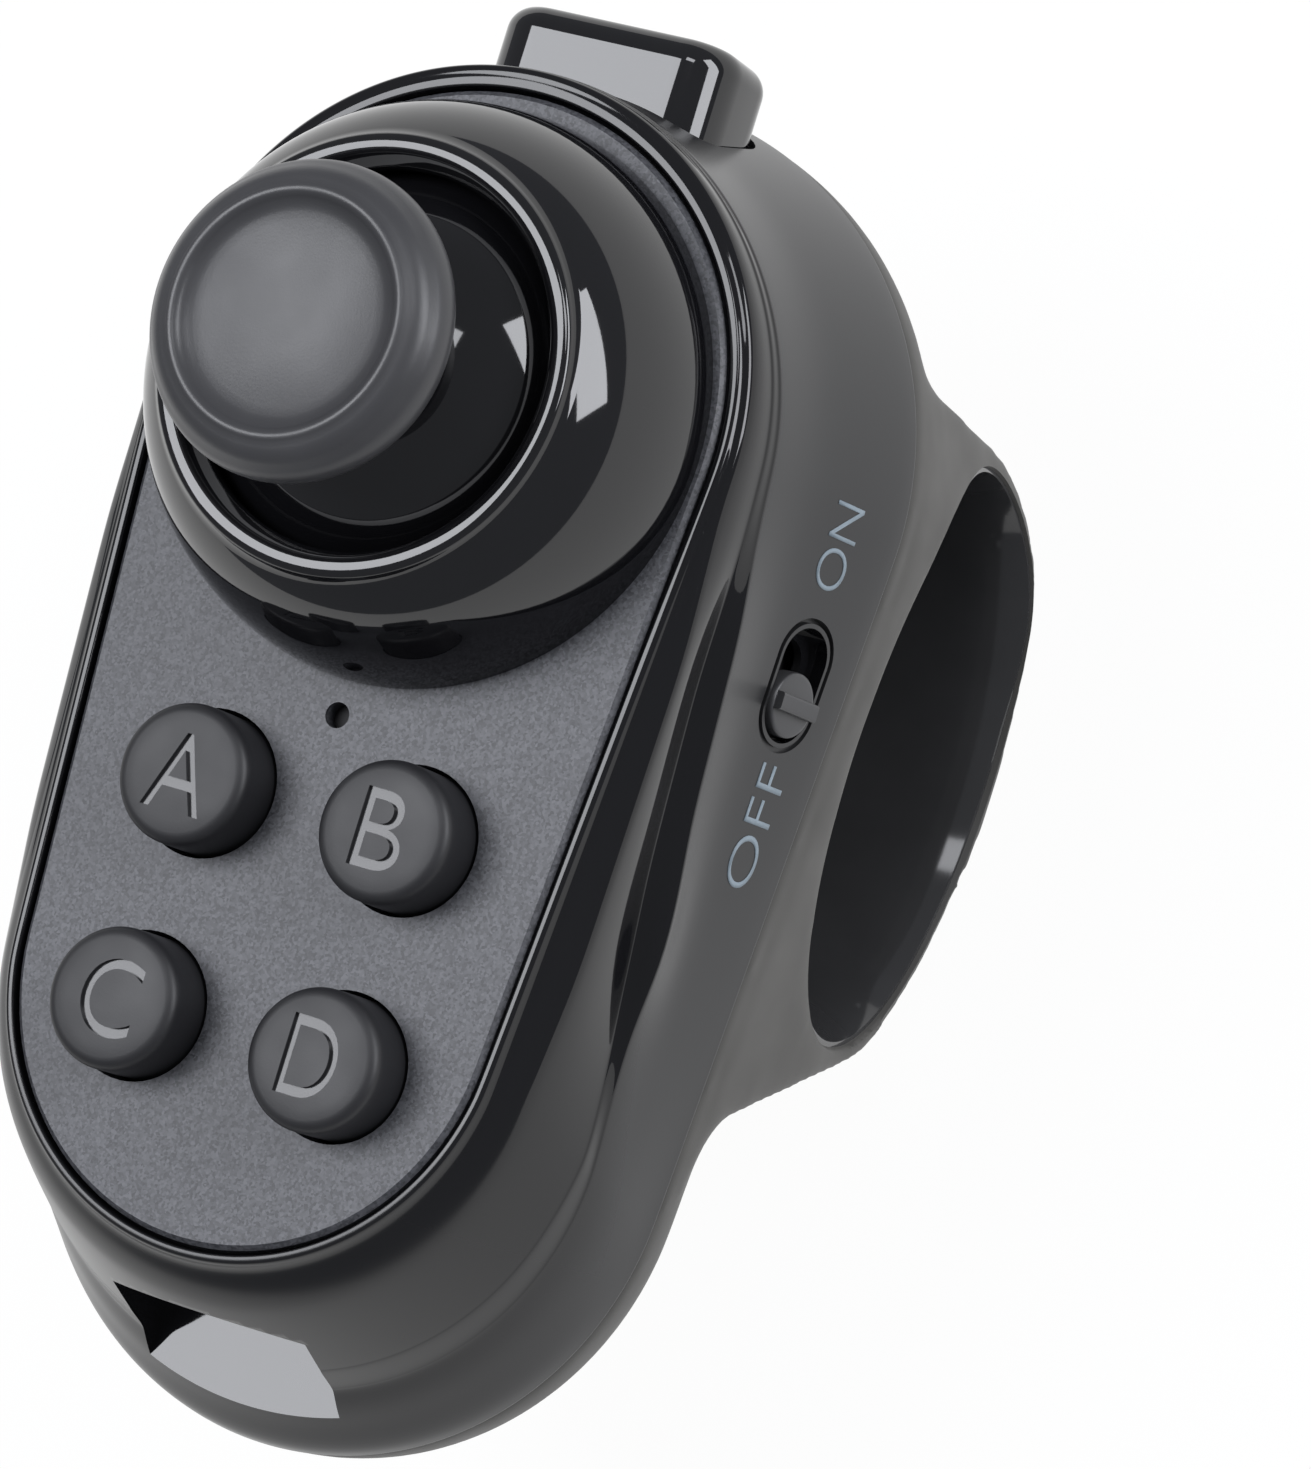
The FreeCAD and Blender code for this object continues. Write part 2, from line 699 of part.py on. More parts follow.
def stick_shaft():
    foot_low = -pivot_depth - gimbal_h / 2 - foot_drop
    shaft = rod(shaft_r, cap_base + 2.8 - foot_low, V(0, stick_y, foot_low))
    foot = rod(1.5 * shaft_r, 0.8, V(0, stick_y, foot_low))
    half = gimbal_w / 2 - 0.1
    cross = rod(cross_pin_r, 2 * half, V(0, stick_y - half, -pivot_depth), Y_AXIS)
    return shaft.fuse([foot, cross])


def stick_dome():
    """A ball shell with a short neck that carries the cap."""
    inner_r = dome_r - dome_t
    bore = shaft_r + 0.05
    polar = math.radians(dome_polar)
    mid = math.radians(dome_polar / 2)
    low_out = (dome_r * math.sin(polar), dome_r * math.cos(polar) - pivot_depth)
    low_in = (inner_r * math.sin(polar), inner_r * math.cos(polar) - pivot_depth)
    mid_out = (dome_r * math.sin(mid), dome_r * math.cos(mid) - pivot_depth)
    mid_in = (inner_r * math.sin(mid), inner_r * math.cos(mid) - pivot_depth)
    neck_low = (neck_r, sphere_z(neck_r, dome_r))
    bore_low = (bore, sphere_z(bore, inner_r))
    edges = polyline([bore_low, (bore, cap_base), (neck_r, cap_base), neck_low])
    edges.append(arc(neck_low, mid_out, low_out))
    edges.append(line(low_out, low_in))
    edges.append(arc(low_in, mid_in, bore_low))
    return turned(edges, stick_y)


def stick_cap():
    """The thumb cap: tapered foot, round shoulder, a raised lip and a dished top."""
    bore = shaft_r + 0.05
    socket = cap_base + 2.9
    side_low = (cap_r - 0.2, cap_base + 0.5 * cap_h)
    side_mid = (cap_r, cap_base + 0.655 * cap_h)
    shoulder = (cap_r - 0.4, cap_base + 0.83 * cap_h)
    lip = (cap_lip_r, cap_top)
    dish_edge_r = cap_lip_r - 0.6
    dish_r = (dish_edge_r ** 2 + dish_depth ** 2) / (2 * dish_depth)
    edges = polyline([(0, socket), (bore, socket), (bore, cap_base), (cap_foot_r, cap_base),
                      (cap_foot_r, cap_base + 0.4), side_low])
    edges.append(arc(side_low, side_mid, shoulder))
    edges.append(arc(shoulder, (cap_r - 0.95, cap_top - 0.3), lip))
    edges += polyline([lip, (0, cap_top), (0, socket)])
    dish = Part.makeSphere(dish_r, V(0, stick_y, cap_top - dish_depth + dish_r))
    return turned(edges, stick_y).cut(dish)


def stick_spring():
    """A short coil of flat-sided wire on the frame's floor, under the shaft's foot."""
    wire_r = spring_wire / 2
    foot_low = -pivot_depth - gimbal_h / 2 - foot_drop
    low = -board_depth + frame_wall + wire_r + 0.05
    rise = foot_low - 0.75 - low
    helix = Part.makeHelix(rise / spring_turns, rise, spring_r)
    helix.translate(V(0, stick_y, low))
    start = helix.Edges[0].valueAt(helix.Edges[0].FirstParameter)
    corners = [start + V(wire_r * x, 0, wire_r * z) for x, z in ((-1, -1), (1, -1), (1, 1), (-1, 1), (-1, -1))]
    section = Part.makePolygon(corners)
    return Part.Wire(helix.Edges).makePipeShell([section], True, True)


def trigger_button():
    """A block with rounded corners and a flange that stops it inside the wall."""
    end = big_y + plate_big_r + trigger_reach
    flange_y = trigger_stop_y - run_gap
    head = trigger_section(0, flange_y - trigger_flange_t, end)
    outer = [e for e in head.Edges if e.BoundBox.YMin > end - 0.001]
    head = head.makeFillet(trigger_edge, outer)
    half = trigger_w / 2 + trigger_flange_lap
    tall = trigger_h / 2 + trigger_flange_lap * 0.5
    flange = box(-half, half, flange_y - trigger_flange_t, flange_y, trigger_z - tall, trigger_z + tall)
    return head.fuse(flange)


def trigger_switch_faces():
    """Board back and front and the switch's face, along y from the stick's frame outward."""
    back = stick_y + frame_half + trigger_board_gap
    front = back + trigger_board_size[1]
    return back, front, front + trigger_tact_t


def trigger_switch_z():
    return -board_depth + trigger_board_size[2] / 2


def trigger_plunger():
    face = trigger_switch_faces()[2]
    back = trigger_stop_y - run_gap - trigger_flange_t
    return rod(trigger_plunger_r, back - face + 0.2, V(0, face - 0.2, trigger_switch_z()), Y_AXIS)


def trigger_switch():
    front, face = trigger_switch_faces()[1:]
    half = tact_w / 2
    z = trigger_switch_z()
    body = box(-half, half, front, face, z - half, z + half)
    well = trigger_travel + 0.4
    return body.cut(rod(trigger_plunger_r + run_gap, well, V(0, face - well, z), Y_AXIS))


def trigger_board():
    back, front, _ = trigger_switch_faces()
    half = trigger_board_size[0] / 2
    return box(-half, half, back, front, -board_depth, -board_depth + trigger_board_size[2])


def switch_knob():
    """The sliding knob at its lower stop, with a rib across it for the nail."""
    shift = V(0, -knob_travel / 2, 0)
    base = -switch_recess + run_gap
    disc = rod(knob_r, knob_proud - base, V(0, 0, base))
    top = [e for e in disc.Edges if e.BoundBox.ZMin > knob_proud - 0.001]
    disc = disc.makeFillet(0.2, top)
    rib = block((2 * knob_r - 0.5, knob_rib[0], knob_rib[1] + 0.2), 0, 0, knob_proud - 0.2)
    stem_low = -switch_seat - 0.9
    stem = rod(knob_stem_r, base - stem_low + 0.1, V(0, 0, stem_low))
    solid = disc.fuse([rib, stem])
    solid.translate(shift)
    return on_wall(solid)


def switch_body():
    long, tall, deep = switch_body_size
    body = box(-tall / 2, tall / 2, -long / 2, long / 2, -switch_seat - deep, -switch_seat)
    slot = stadium_at(2 * (knob_stem_r + run_gap) + knob_travel, 2 * (knob_stem_r + run_gap), -switch_seat - 1.2, 5)
    return on_wall(body.cut(slot))


os.makedirs("parts", exist_ok=True)

export("front_housing", front_housing())
export("face_plate", face_plate())
export("stick_collar", stick_collar())
export("rear_cover", rear_cover())
export("ring_liner", ring_liner())
export("light_pipe", light_pipe())
export("main_pcb", main_pcb())
export("status_led", block(led_size, 0, led_y, -board_depth))
export("processor_chip", block(chip_size, chip_x, stick_y - chip_back, -board_depth))
export("radio_module", block(radio_size, *radio_at, -board_depth))
for letter, (key_x, key_y) in keys.items():
    export("button_" + letter, button(key_x, key_y))
    export("key_plunger_" + letter, key_plunger(key_x, key_y))
    export("key_switch_" + letter, key_switch(key_x, key_y))
export("stick_frame", stick_frame())
pot = stick_pot()
export("stick_pot_x", pot)
pot.rotate(V(0, stick_y, 0), Z_AXIS, -90)
export("stick_pot_y", pot)
export("gimbal_ring", gimbal_ring())
export("rocker_arch", rocker_arch())
export("stick_shaft", stick_shaft())
export("stick_dome", stick_dome())
export("stick_cap", stick_cap())
export("stick_spring", stick_spring())
export("trigger_button", trigger_button())
export("trigger_plunger", trigger_plunger())
export("trigger_switch", trigger_switch())
export("trigger_board", trigger_board())
export("switch_knob", switch_knob())
export("switch_body", switch_body())
export("usb_port", usb_port())
export("battery", block(battery_size, 0, battery_y, -cover_floor_depth + pad_t))
export("battery_pad", block((battery_size[0], battery_size[1], pad_t), 0, battery_y, -cover_floor_depth))
export("housing_screws", housing_screws())
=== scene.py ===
# %% [markdown]
# # Ring gamepad
#
# A small gamepad that is worn on a finger: a thumb stick and four keys on an egg-shaped body,
# a trigger at its front and a power switch on its side.
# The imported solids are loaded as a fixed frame. Each visible piece is then modelled again with
# smooth surfaces, in the solids' places, because polished plastic shows every flat facet.

# %% Load the frame
import math
import bmesh
import bpy
from mathutils import Matrix, Vector


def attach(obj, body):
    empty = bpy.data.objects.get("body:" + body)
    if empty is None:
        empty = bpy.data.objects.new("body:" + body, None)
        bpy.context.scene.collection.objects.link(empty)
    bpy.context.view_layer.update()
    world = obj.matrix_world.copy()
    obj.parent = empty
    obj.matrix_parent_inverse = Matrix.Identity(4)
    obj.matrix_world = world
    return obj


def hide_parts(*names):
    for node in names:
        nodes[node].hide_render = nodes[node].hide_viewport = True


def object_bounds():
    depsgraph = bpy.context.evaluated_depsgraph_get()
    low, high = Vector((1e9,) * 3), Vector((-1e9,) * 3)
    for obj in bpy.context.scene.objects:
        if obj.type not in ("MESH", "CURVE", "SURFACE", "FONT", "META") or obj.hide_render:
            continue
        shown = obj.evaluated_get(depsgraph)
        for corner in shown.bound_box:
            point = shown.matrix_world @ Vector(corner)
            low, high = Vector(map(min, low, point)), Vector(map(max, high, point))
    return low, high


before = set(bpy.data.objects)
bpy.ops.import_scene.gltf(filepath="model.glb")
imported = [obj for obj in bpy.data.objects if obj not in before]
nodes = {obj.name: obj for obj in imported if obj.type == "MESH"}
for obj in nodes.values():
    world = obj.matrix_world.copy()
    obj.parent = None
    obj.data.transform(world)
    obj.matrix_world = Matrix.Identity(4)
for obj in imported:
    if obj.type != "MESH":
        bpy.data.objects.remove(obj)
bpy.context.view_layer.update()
print("solids loaded:", len(nodes))

# %% [markdown]
# ## Working in millimetres
#
# The real product was drawn from its face plate: x runs to the switch side, y to the trigger
# and z out of the face. Each piece is modelled there in millimetres, at readable sizes.
# When it is finished, it is scaled to metres and moved so that the finger bore's centre is the
# origin, and the scale and the move are applied to its mesh.

# %% Sizes that several pieces share, in millimetres
BORE_Y = 21.5
BORE_DEPTH = 30.4
BIG_Y = 30.45
STICK_Y = 30.0
PIVOT_DEPTH = 2.0
PLATE_BIG_R = 15.05
PLATE_SMALL_R = 13.0
PLATE_T = 1.2
SEAM_DEPTH = 15.0
SEAM_BIG_R = 19.5
SEAM_SMALL_R = 17.6
SEAM_BIG_Y = BIG_Y - 0.45
SEAM_SMALL_Y = -4.4
KEYS = {"a": (-5.7, 8.72), "b": (5.7, 8.72), "c": (-5.7, -2.68), "d": (5.7, -2.68)}


def on_face(x, y, z):
    """A point of the face's frame in metres, in the frame of the solids."""
    return Vector((x, y - BORE_Y, z + BORE_DEPTH)) / 1000


def only(obj):
    """Make one object the only selected and the active one."""
    bpy.ops.object.select_all(action="DESELECT")
    obj.select_set(True)
    bpy.context.view_layer.objects.active = obj


def edit(obj):
    """Open one object's mesh for editing, with nothing selected."""
    only(obj)
    bpy.ops.object.mode_set(mode="EDIT")
    bpy.ops.mesh.select_all(action="DESELECT")


def leave():
    """Close the mesh that is open for editing."""
    bpy.ops.object.mode_set(mode="OBJECT")


def pick(test, kind="verts"):
    """In edit mode, select the vertices, edges or faces that pass a test, and nothing else."""
    obj = bpy.context.edit_object
    bpy.ops.mesh.select_all(action="DESELECT")
    bpy.ops.mesh.select_mode(type={"verts": "VERT", "edges": "EDGE", "faces": "FACE"}[kind])
    mesh = bmesh.from_edit_mesh(obj.data)
    mesh.normal_update()
    for part in getattr(mesh, kind):
        part.select_set(bool(test(part)))
    mesh.select_flush_mode()
    bmesh.update_edit_mesh(obj.data)


def apply_modifier(obj, kind, **settings):
    """Add a modifier, set it and apply it."""
    only(obj)
    modifier = obj.modifiers.new(kind.title(), kind)
    for key, value in settings.items():
        setattr(modifier, key, value)
    bpy.ops.object.modifier_apply(modifier=modifier.name)


def cut(obj, cutter, operation="DIFFERENCE"):
    """Cut one mesh with another, whose faces bring their own material, and remove the cutter."""
    apply_modifier(obj, "BOOLEAN", object=cutter, operation=operation, solver="EXACT",
                   material_mode="TRANSFER")
    bpy.data.objects.remove(cutter, do_unlink=True)


def smooth(obj, angle):
    """Shade smooth, but for edges that turn by more than an angle in degrees."""
    only(obj)
    bpy.ops.object.shade_smooth_by_angle(angle=math.radians(angle))


def in_row_frame(obj):
    """Bring a form from millimetres on the face to metres in the frame of the solids."""
    obj.matrix_world = Matrix.Translation(on_face(0, 0, 0)) @ Matrix.Scale(0.001, 4) @ obj.matrix_world
    bpy.context.view_layer.update()
    only(obj)
    bpy.ops.object.transform_apply(location=True, rotation=True, scale=True)
    return obj


def place(obj, name, body, slot, *replaced):
    """Name a finished piece, put it in the solids' frame and let it ride on its body."""
    obj.name = name
    obj.data.name = name
    in_row_frame(obj)
    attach(obj, body)
    if replaced:
        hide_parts(*replaced)
    print(name, "faces", len(obj.data.polygons))


# %% [markdown]
# ## Plastics
#
# The real shell is one black plastic with three surfaces: polished on the bezel, the collar and
# the trigger, satin on the side wall, and soft and warm grey on the rear cover. What tells them
# apart is the width of their reflections, so each finish starts from one recipe with its own
# roughness, and then gets fine moulding grain and slow unevenness from noise on Object
# coordinates, which are in metres on every finished piece. Pictures wrapped round the pieces
# would give the same, but they need unwrapped meshes and they blur close up.

# %% Node helpers
TONE_SCALE = 180
GLOSS_SCALE = 260


def new_material(name, colour, roughness, specular=0.5, metallic=0.0):
    """A material with a plain surface, and that surface's node."""
    material = bpy.data.materials.new(name)
    material.use_nodes = True
    shader = material.node_tree.nodes["Principled BSDF"]
    shader.inputs["Base Color"].default_value = (*colour, 1)
    shader.inputs["Roughness"].default_value = roughness
    shader.inputs["Specular IOR Level"].default_value = specular
    shader.inputs["Metallic"].default_value = metallic
    return material, shader


def node(material, kind, links=(), **settings):
    """Add a node, set its fields or its numbered inputs, and link sockets into it."""
    made = material.node_tree.nodes.new(kind)
    for key, value in settings.items():
        if key.startswith("in_"):
            made.inputs[int(key[3:])].default_value = value
        else:
            setattr(made, key, value)
    for source, target in links:
        material.node_tree.links.new(source, made.inputs[target])
    return made


def link(material, source, target):
    """Link two sockets of a material."""
    material.node_tree.links.new(source, target)


def noise(material, scale, detail=2.0):
    """Noise on Object coordinates. Its scale counts waves in a metre."""
    coordinates = node(material, "ShaderNodeTexCoord")
    made = node(material, "ShaderNodeTexNoise", [(coordinates.outputs["Object"], "Vector")])
    made.inputs["Scale"].default_value = scale
    made.inputs["Detail"].default_value = detail
    return made


def spread(material, source, low, high):
    """Map a value from 0.3..0.7, where noise mostly lies, to a range."""
    made = node(material, "ShaderNodeMapRange", [(source, 0)], in_1=0.3, in_2=0.7, in_3=low, in_4=high)
    return made.outputs[0]


def grain(material, shader, scale, distance):
    """Fine bump over the whole surface. Its height is a distance in metres."""
    bump = node(material, "ShaderNodeBump", [(noise(material, scale, 3).outputs[0], "Height")])
    bump.inputs["Strength"].default_value = 1.0
    bump.inputs["Distance"].default_value = distance
    link(material, bump.outputs[0], shader.inputs["Normal"])


def vary(material, shader, colour, scale, amount):
    """Slow lightness variation about a colour."""
    dark = [c * (1 - amount) for c in colour]
    light = [c * (1 + amount) for c in colour]
    ramp = node(material, "ShaderNodeValToRGB", [(noise(material, scale, 4).outputs[0], 0)])
    ramp.color_ramp.elements[0].position = 0.3
    ramp.color_ramp.elements[0].color = (*dark, 1)
    ramp.color_ramp.elements[1].position = 0.7
    ramp.color_ramp.elements[1].color = (*light, 1)
    link(material, ramp.outputs[0], shader.inputs["Base Color"])


def plastic(name, colour, rough, rough_spread, grain_scale, grain_height, amount=0.08):
    """A moulded plastic with uneven colour and gloss, and grain of a height in metres."""
    material, shader = new_material(name, colour, rough)
    vary(material, shader, colour, TONE_SCALE, amount)
    uneven = noise(material, GLOSS_SCALE).outputs[0]
    gloss = spread(material, uneven, rough - rough_spread, rough + rough_spread)
    link(material, gloss, shader.inputs["Roughness"])
    grain(material, shader, grain_scale, grain_height)
    return material


# %% The finishes
polished = plastic("polished black", (0.006, 0.006, 0.007), 0.045, 0.012, 900, 0.0000004)
polished.node_tree.nodes["Principled BSDF"].inputs["Specular IOR Level"].default_value = 0.7
satin = plastic("satin black", (0.022, 0.022, 0.023), 0.36, 0.03, 9000, 0.0000025)
soft_grey = plastic("soft touch grey", (0.052, 0.05, 0.046), 0.5, 0.04, 9000, 0.000004)
key_black = plastic("matte key", (0.015, 0.015, 0.017), 0.48, 0.04, 7000, 0.000004)
letter_gloss = plastic("polished letter", (0.03, 0.03, 0.032), 0.14, 0.02, 2000, 0.000001)
cap_rubber = plastic("matte cap", (0.045, 0.045, 0.048), 0.36, 0.04, 8000, 0.000004)
knob_grey = plastic("satin knob", (0.05, 0.05, 0.052), 0.35, 0.04, 6000, 0.000003)
sleeve_black = plastic("polished sleeve", (0.036, 0.036, 0.037), 0.09, 0.02, 900, 0.0000001)
inner_black = plastic("moulded inside", (0.012, 0.012, 0.013), 0.55, 0.05, 4000, 0.000004)
print("finishes:", len(bpy.data.materials))

# %% [markdown]
# ## Metallic paint
#
# The face plate is painted: fine bright flakes lie in a dark grey coat. Seen close, the paint
# sparkles from grain to grain, so a small voronoi pattern tilts the normal of each flake and
# changes its brightness. The surface itself is only slightly metallic, because the coat between
# the flakes is plain paint.

# %% Paint with flakes
FLAKE_SCALE = 7500
FLAKE_HEIGHT = 0.00002

metallic, shader = new_material("metallic grey", (0.07, 0.07, 0.075), 0.45, metallic=0.1)
flakes = node(metallic, "ShaderNodeTexVoronoi",
              [(node(metallic, "ShaderNodeTexCoord").outputs["Object"], "Vector")])
flakes.inputs["Scale"].default_value = FLAKE_SCALE
flake_ramp = node(metallic, "ShaderNodeValToRGB", [(flakes.outputs["Color"], 0)])
flake_ramp.color_ramp.elements[0].position = 0.15
flake_ramp.color_ramp.elements[0].color = (0.038, 0.039, 0.044, 1)
flake_ramp.color_ramp.elements[1].position = 0.9
flake_ramp.color_ramp.elements[1].color = (0.1, 0.102, 0.113, 1)
link(metallic, flake_ramp.outputs[0], shader.inputs["Base Color"])
flake_bump = node(metallic, "ShaderNodeBump", [(flakes.outputs["Color"], "Height")])
flake_bump.inputs["Strength"].default_value = 0.35
flake_bump.inputs["Distance"].default_value = FLAKE_HEIGHT
link(metallic, flake_bump.outputs[0], shader.inputs["Normal"])
print("paint nodes:", len(metallic.node_tree.nodes))

# %% [markdown]
# ## The shell's finish
#
# The front housing is polished above its crease line and satin below it. On the real part the
# crease fades out towards the tail, and the two surfaces run into each other there. One material
# does this: it measures how far a point lies below the plane of the crease, and widens the band
# over which the roughness changes towards the tail. Two materials on two groups of faces would
# leave a hard line there.

# %% Polished above the crease, satin below
CREASE_Z = -1.17
CREASE_SLOPE = 0.1374
CREASE_FRONT_Y = BIG_Y - 0.25 + 16.85
SHARP_BAND = 0.00025
WIDE_BAND = 0.006
POLISHED_ROUGH = 0.05
SATIN_ROUGH = 0.3
TAIL_ROUGH = 0.28
SHELL_GRAIN = 9000

shell, shader = new_material("housing shell", (0.008, 0.008, 0.009), 0.05)
where = node(shell, "ShaderNodeSeparateXYZ", [(node(shell, "ShaderNodeTexCoord").outputs["Object"], 0)])
front = on_face(0, CREASE_FRONT_Y, CREASE_Z)
run = node(shell, "ShaderNodeMath", [(where.outputs[1], 1)], operation="SUBTRACT", in_0=front.y)
fall = node(shell, "ShaderNodeMath", [(run.outputs[0], 0)], operation="MULTIPLY", in_1=-CREASE_SLOPE)
plane = node(shell, "ShaderNodeMath", [(fall.outputs[0], 0)], operation="ADD", in_1=front.z)
below = node(shell, "ShaderNodeMath", [(plane.outputs[0], 0), (where.outputs[2], 1)],
             operation="SUBTRACT")
band = node(shell, "ShaderNodeMapRange", [(where.outputs[1], 0)], in_1=on_face(0, 6, 0).y,
            in_2=on_face(0, -16, 0).y, in_3=SHARP_BAND, in_4=WIDE_BAND)
share = node(shell, "ShaderNodeMath", [(below.outputs[0], 0), (band.outputs[0], 1)],
             operation="DIVIDE", use_clamp=True)
rough = node(shell, "ShaderNodeMapRange", [(share.outputs[0], 0)], in_3=POLISHED_ROUGH, in_4=SATIN_ROUGH)
tail = node(shell, "ShaderNodeMapRange", [(where.outputs[1], 0)], in_1=on_face(0, 2, 0).y,
            in_2=on_face(0, -9, 0).y, in_3=0.0, in_4=TAIL_ROUGH)
rough = node(shell, "ShaderNodeMath", [(rough.outputs[0], 0), (tail.outputs[0], 1)],
             operation="MAXIMUM")
link(shell, rough.outputs[0], shader.inputs["Roughness"])
tone = node(shell, "ShaderNodeValToRGB", [(share.outputs[0], 0)])
tone.color_ramp.elements[0].color = (0.006, 0.006, 0.007, 1)
tone.color_ramp.elements[1].color = (0.024, 0.024, 0.025, 1)
link(shell, tone.outputs[0], shader.inputs["Base Color"])
shell_bump = node(shell, "ShaderNodeBump", [(noise(shell, SHELL_GRAIN, 3).outputs[0], "Height"),
                                            (share.outputs[0], "Strength")])
shell_bump.inputs["Distance"].default_value = 0.0000022
link(shell, shell_bump.outputs[0], shader.inputs["Normal"])
print("shell nodes:", len(shell.node_tree.nodes))

# %% [markdown]
# ## The egg-shaped housing
#
# Every outline of the body is an egg: a large arc, a small arc and two straight lines that
# touch both. By hand, that is a circle whose front is enlarged and moved away. A stack of
# such outlines, each bridged to the next, gives the lip round the plate, the bezel, the crease
# and the side wall. Subdivision then rounds the edges, and the outlines that lie close
# together keep those edges tight. A loft by curves would work too, but it gives no control
# over how sharp each edge is.

# %% Egg outlines
TURNS = 96
STACK_STEP = 30


def egg_circle(big_r, small_r, big_y, small_y, height, turns):
    """In edit mode, add one level egg outline: a circle whose front is enlarged and moved away."""
    bpy.ops.mesh.select_all(action="DESELECT")
    bpy.ops.mesh.primitive_circle_add(vertices=turns, radius=small_r, location=(0, small_y, height))
    mesh = bmesh.from_edit_mesh(bpy.context.edit_object.data)
    lean = (big_r - small_r) / (big_y - small_y)
    for v in [v for v in mesh.verts if v.select]:
        v.select_set((v.co.y - small_y) / small_r > -lean)
    mesh.select_flush_mode()
    bmesh.update_edit_mesh(bpy.context.edit_object.data)
    bpy.ops.transform.resize(value=(big_r / small_r,) * 3, center_override=(0, small_y, height))
    bpy.ops.transform.translate(value=(0, big_y - small_y, 0))


def egg_shell(name, outlines, closed=False, turns=TURNS, cuts=9):
    """Bridge a stack of egg outlines, far apart so that none is twisted, and then move each
    to its height and slope. Cuts divide the long edges of the straight sides."""
    mesh = bpy.data.meshes.new(name)
    obj = bpy.data.objects.new(name, mesh)
    bpy.context.scene.collection.objects.link(obj)
    edit(obj)
    for k, outline in enumerate(outlines):
        egg_circle(*outline[:4], k * STACK_STEP, turns)
    count = len(outlines)
    pairs = [(k, k + 1) for k in range(count - 1)] + ([(count - 1, 0)] if closed else [])
    for a, b in pairs:
        pick(lambda v: v.index // turns in (a, b))
        bpy.ops.mesh.select_mode(type="EDGE")
        bpy.ops.mesh.bridge_edge_loops()
    if not closed:
        for k in (0, count - 1):
            pick(lambda v: v.index // turns == k)
            bpy.ops.mesh.edge_face_add()
    for k, outline in enumerate(outlines):
        big_r, big_y, z = outline[0], outline[2], outline[4]
        slope = outline[5] if len(outline) > 5 else 0.0
        pick(lambda v: v.index // turns == k)
        bpy.ops.transform.translate(value=(0, 0, z - k * STACK_STEP))
        if slope:
            bpy.ops.transform.rotate(value=-math.atan(slope), orient_axis="X",
                                     center_override=(0, big_y + big_r, z))
    if cuts:
        longest = 0.45 * (outlines[0][2] - outlines[0][3])
        pick(lambda e: abs(e.verts[0].co.y - e.verts[1].co.y) > longest, "edges")
        bpy.ops.mesh.subdivide(number_cuts=cuts)
    bpy.ops.mesh.select_all(action="SELECT")
    bpy.ops.mesh.normals_make_consistent(inside=False)
    leave()
    return obj


def plate_egg(offset, z):
    """The face plate's outline, moved out by an offset, at a height."""
    return (PLATE_BIG_R + offset, PLATE_SMALL_R + offset, BIG_Y, 0, z)


def seam_egg(offset, z):
    """The outline of the seam between the two shells, moved out by an offset, at a height."""
    return (SEAM_BIG_R + offset, SEAM_SMALL_R + offset, SEAM_BIG_Y, SEAM_SMALL_Y, z)


print("corners in an outline:", TURNS)

# %% [markdown]
# ## Lip, ledge and crease
#
# The surface between the plate and the crease is not an even band. On the real part, a polished
# ledge runs as a shallow S from the collar to the tail, and steepens into the crease. The
# outlines that make it lean down to the tail. Then some are widened, narrowed or lowered over a
# part of their length, by moves that fade out at both ends, as one would push clay. A stack of
# outlines without these moves would keep one section all the way round.

# %% Housing outlines, from the plate's rest over the lip to the seam and back inside
ON_PLANE = 0.02
BEND = (16.36, 15.1, BIG_Y - 0.03, -0.4, -0.08, 0.0363)
TURN = (16.46, 15.3, BIG_Y - 0.05, -0.65, -0.17, 0.0465)
STEEP = (16.58, 15.75, BIG_Y - 0.1, -1.25, -0.4, 0.0742)
FOOT = (16.65, 16.45, BIG_Y - 0.15, -2.15, -0.8, 0.1159)
CREASE = (16.85, 16.6, BIG_Y - 0.25, -3.0, -1.2, 0.1374)


def beside(outline, wider, higher):
    """An outline a little wider and higher than another."""
    return (outline[0] + wider, outline[1] + wider, *outline[2:4], outline[4] + higher, outline[5])


FOOT_RINGS = [beside(FOOT, -0.03, 0.12), FOOT, beside(FOOT, 0.08, -0.06)]
CREASE_RINGS = [beside(CREASE, -0.09, 0.07), CREASE, beside(CREASE, 0.03, -0.16)]
housing = egg_shell("housing", [
    plate_egg(0.22, -PLATE_T),
    plate_egg(0.22, -0.9),
    plate_egg(0.22, -0.14),
    plate_egg(0.27, -0.02),
    plate_egg(0.36, 0.0),
    plate_egg(0.6, 0.0),
    (*plate_egg(0.74, -0.01), 0.003),
    (*plate_egg(0.86, -0.02), 0.014),
    (16.2, 14.55, BIG_Y, -0.1, -0.03, 0.0215),
    BEND,
    TURN,
    STEEP,
    *FOOT_RINGS,
    *CREASE_RINGS,
    (17.25, 16.95, BIG_Y - 0.3, -3.35, -5.4, 0.091),
    (18.0, 17.2, BIG_Y - 0.35, -3.7, -8.6, 0.06),
    seam_egg(-0.2, -13.9),
    seam_egg(-0.04, -14.8),
    seam_egg(0, -14.93),
    seam_egg(-0.08, -SEAM_DEPTH),
    seam_egg(-0.5, -SEAM_DEPTH),
    seam_egg(-1.8, -SEAM_DEPTH),
    seam_egg(-1.8, -14.0),
    plate_egg(0.1, -5.0),
    plate_egg(-0.8, -1.9),
    plate_egg(-0.8, -PLATE_T),
], closed=True)
print("housing corners:", len(housing.data.vertices))


# %% Widening, narrowing and lowering of the ledge's outlines
def lies_on(v, outline):
    """Whether a vertex lies in the leaning plane of an outline."""
    big_r, _, big_y, _, z, slope = outline
    return abs(v.co.z - z - slope * (v.co.y - big_y - big_r)) < ON_PLANE


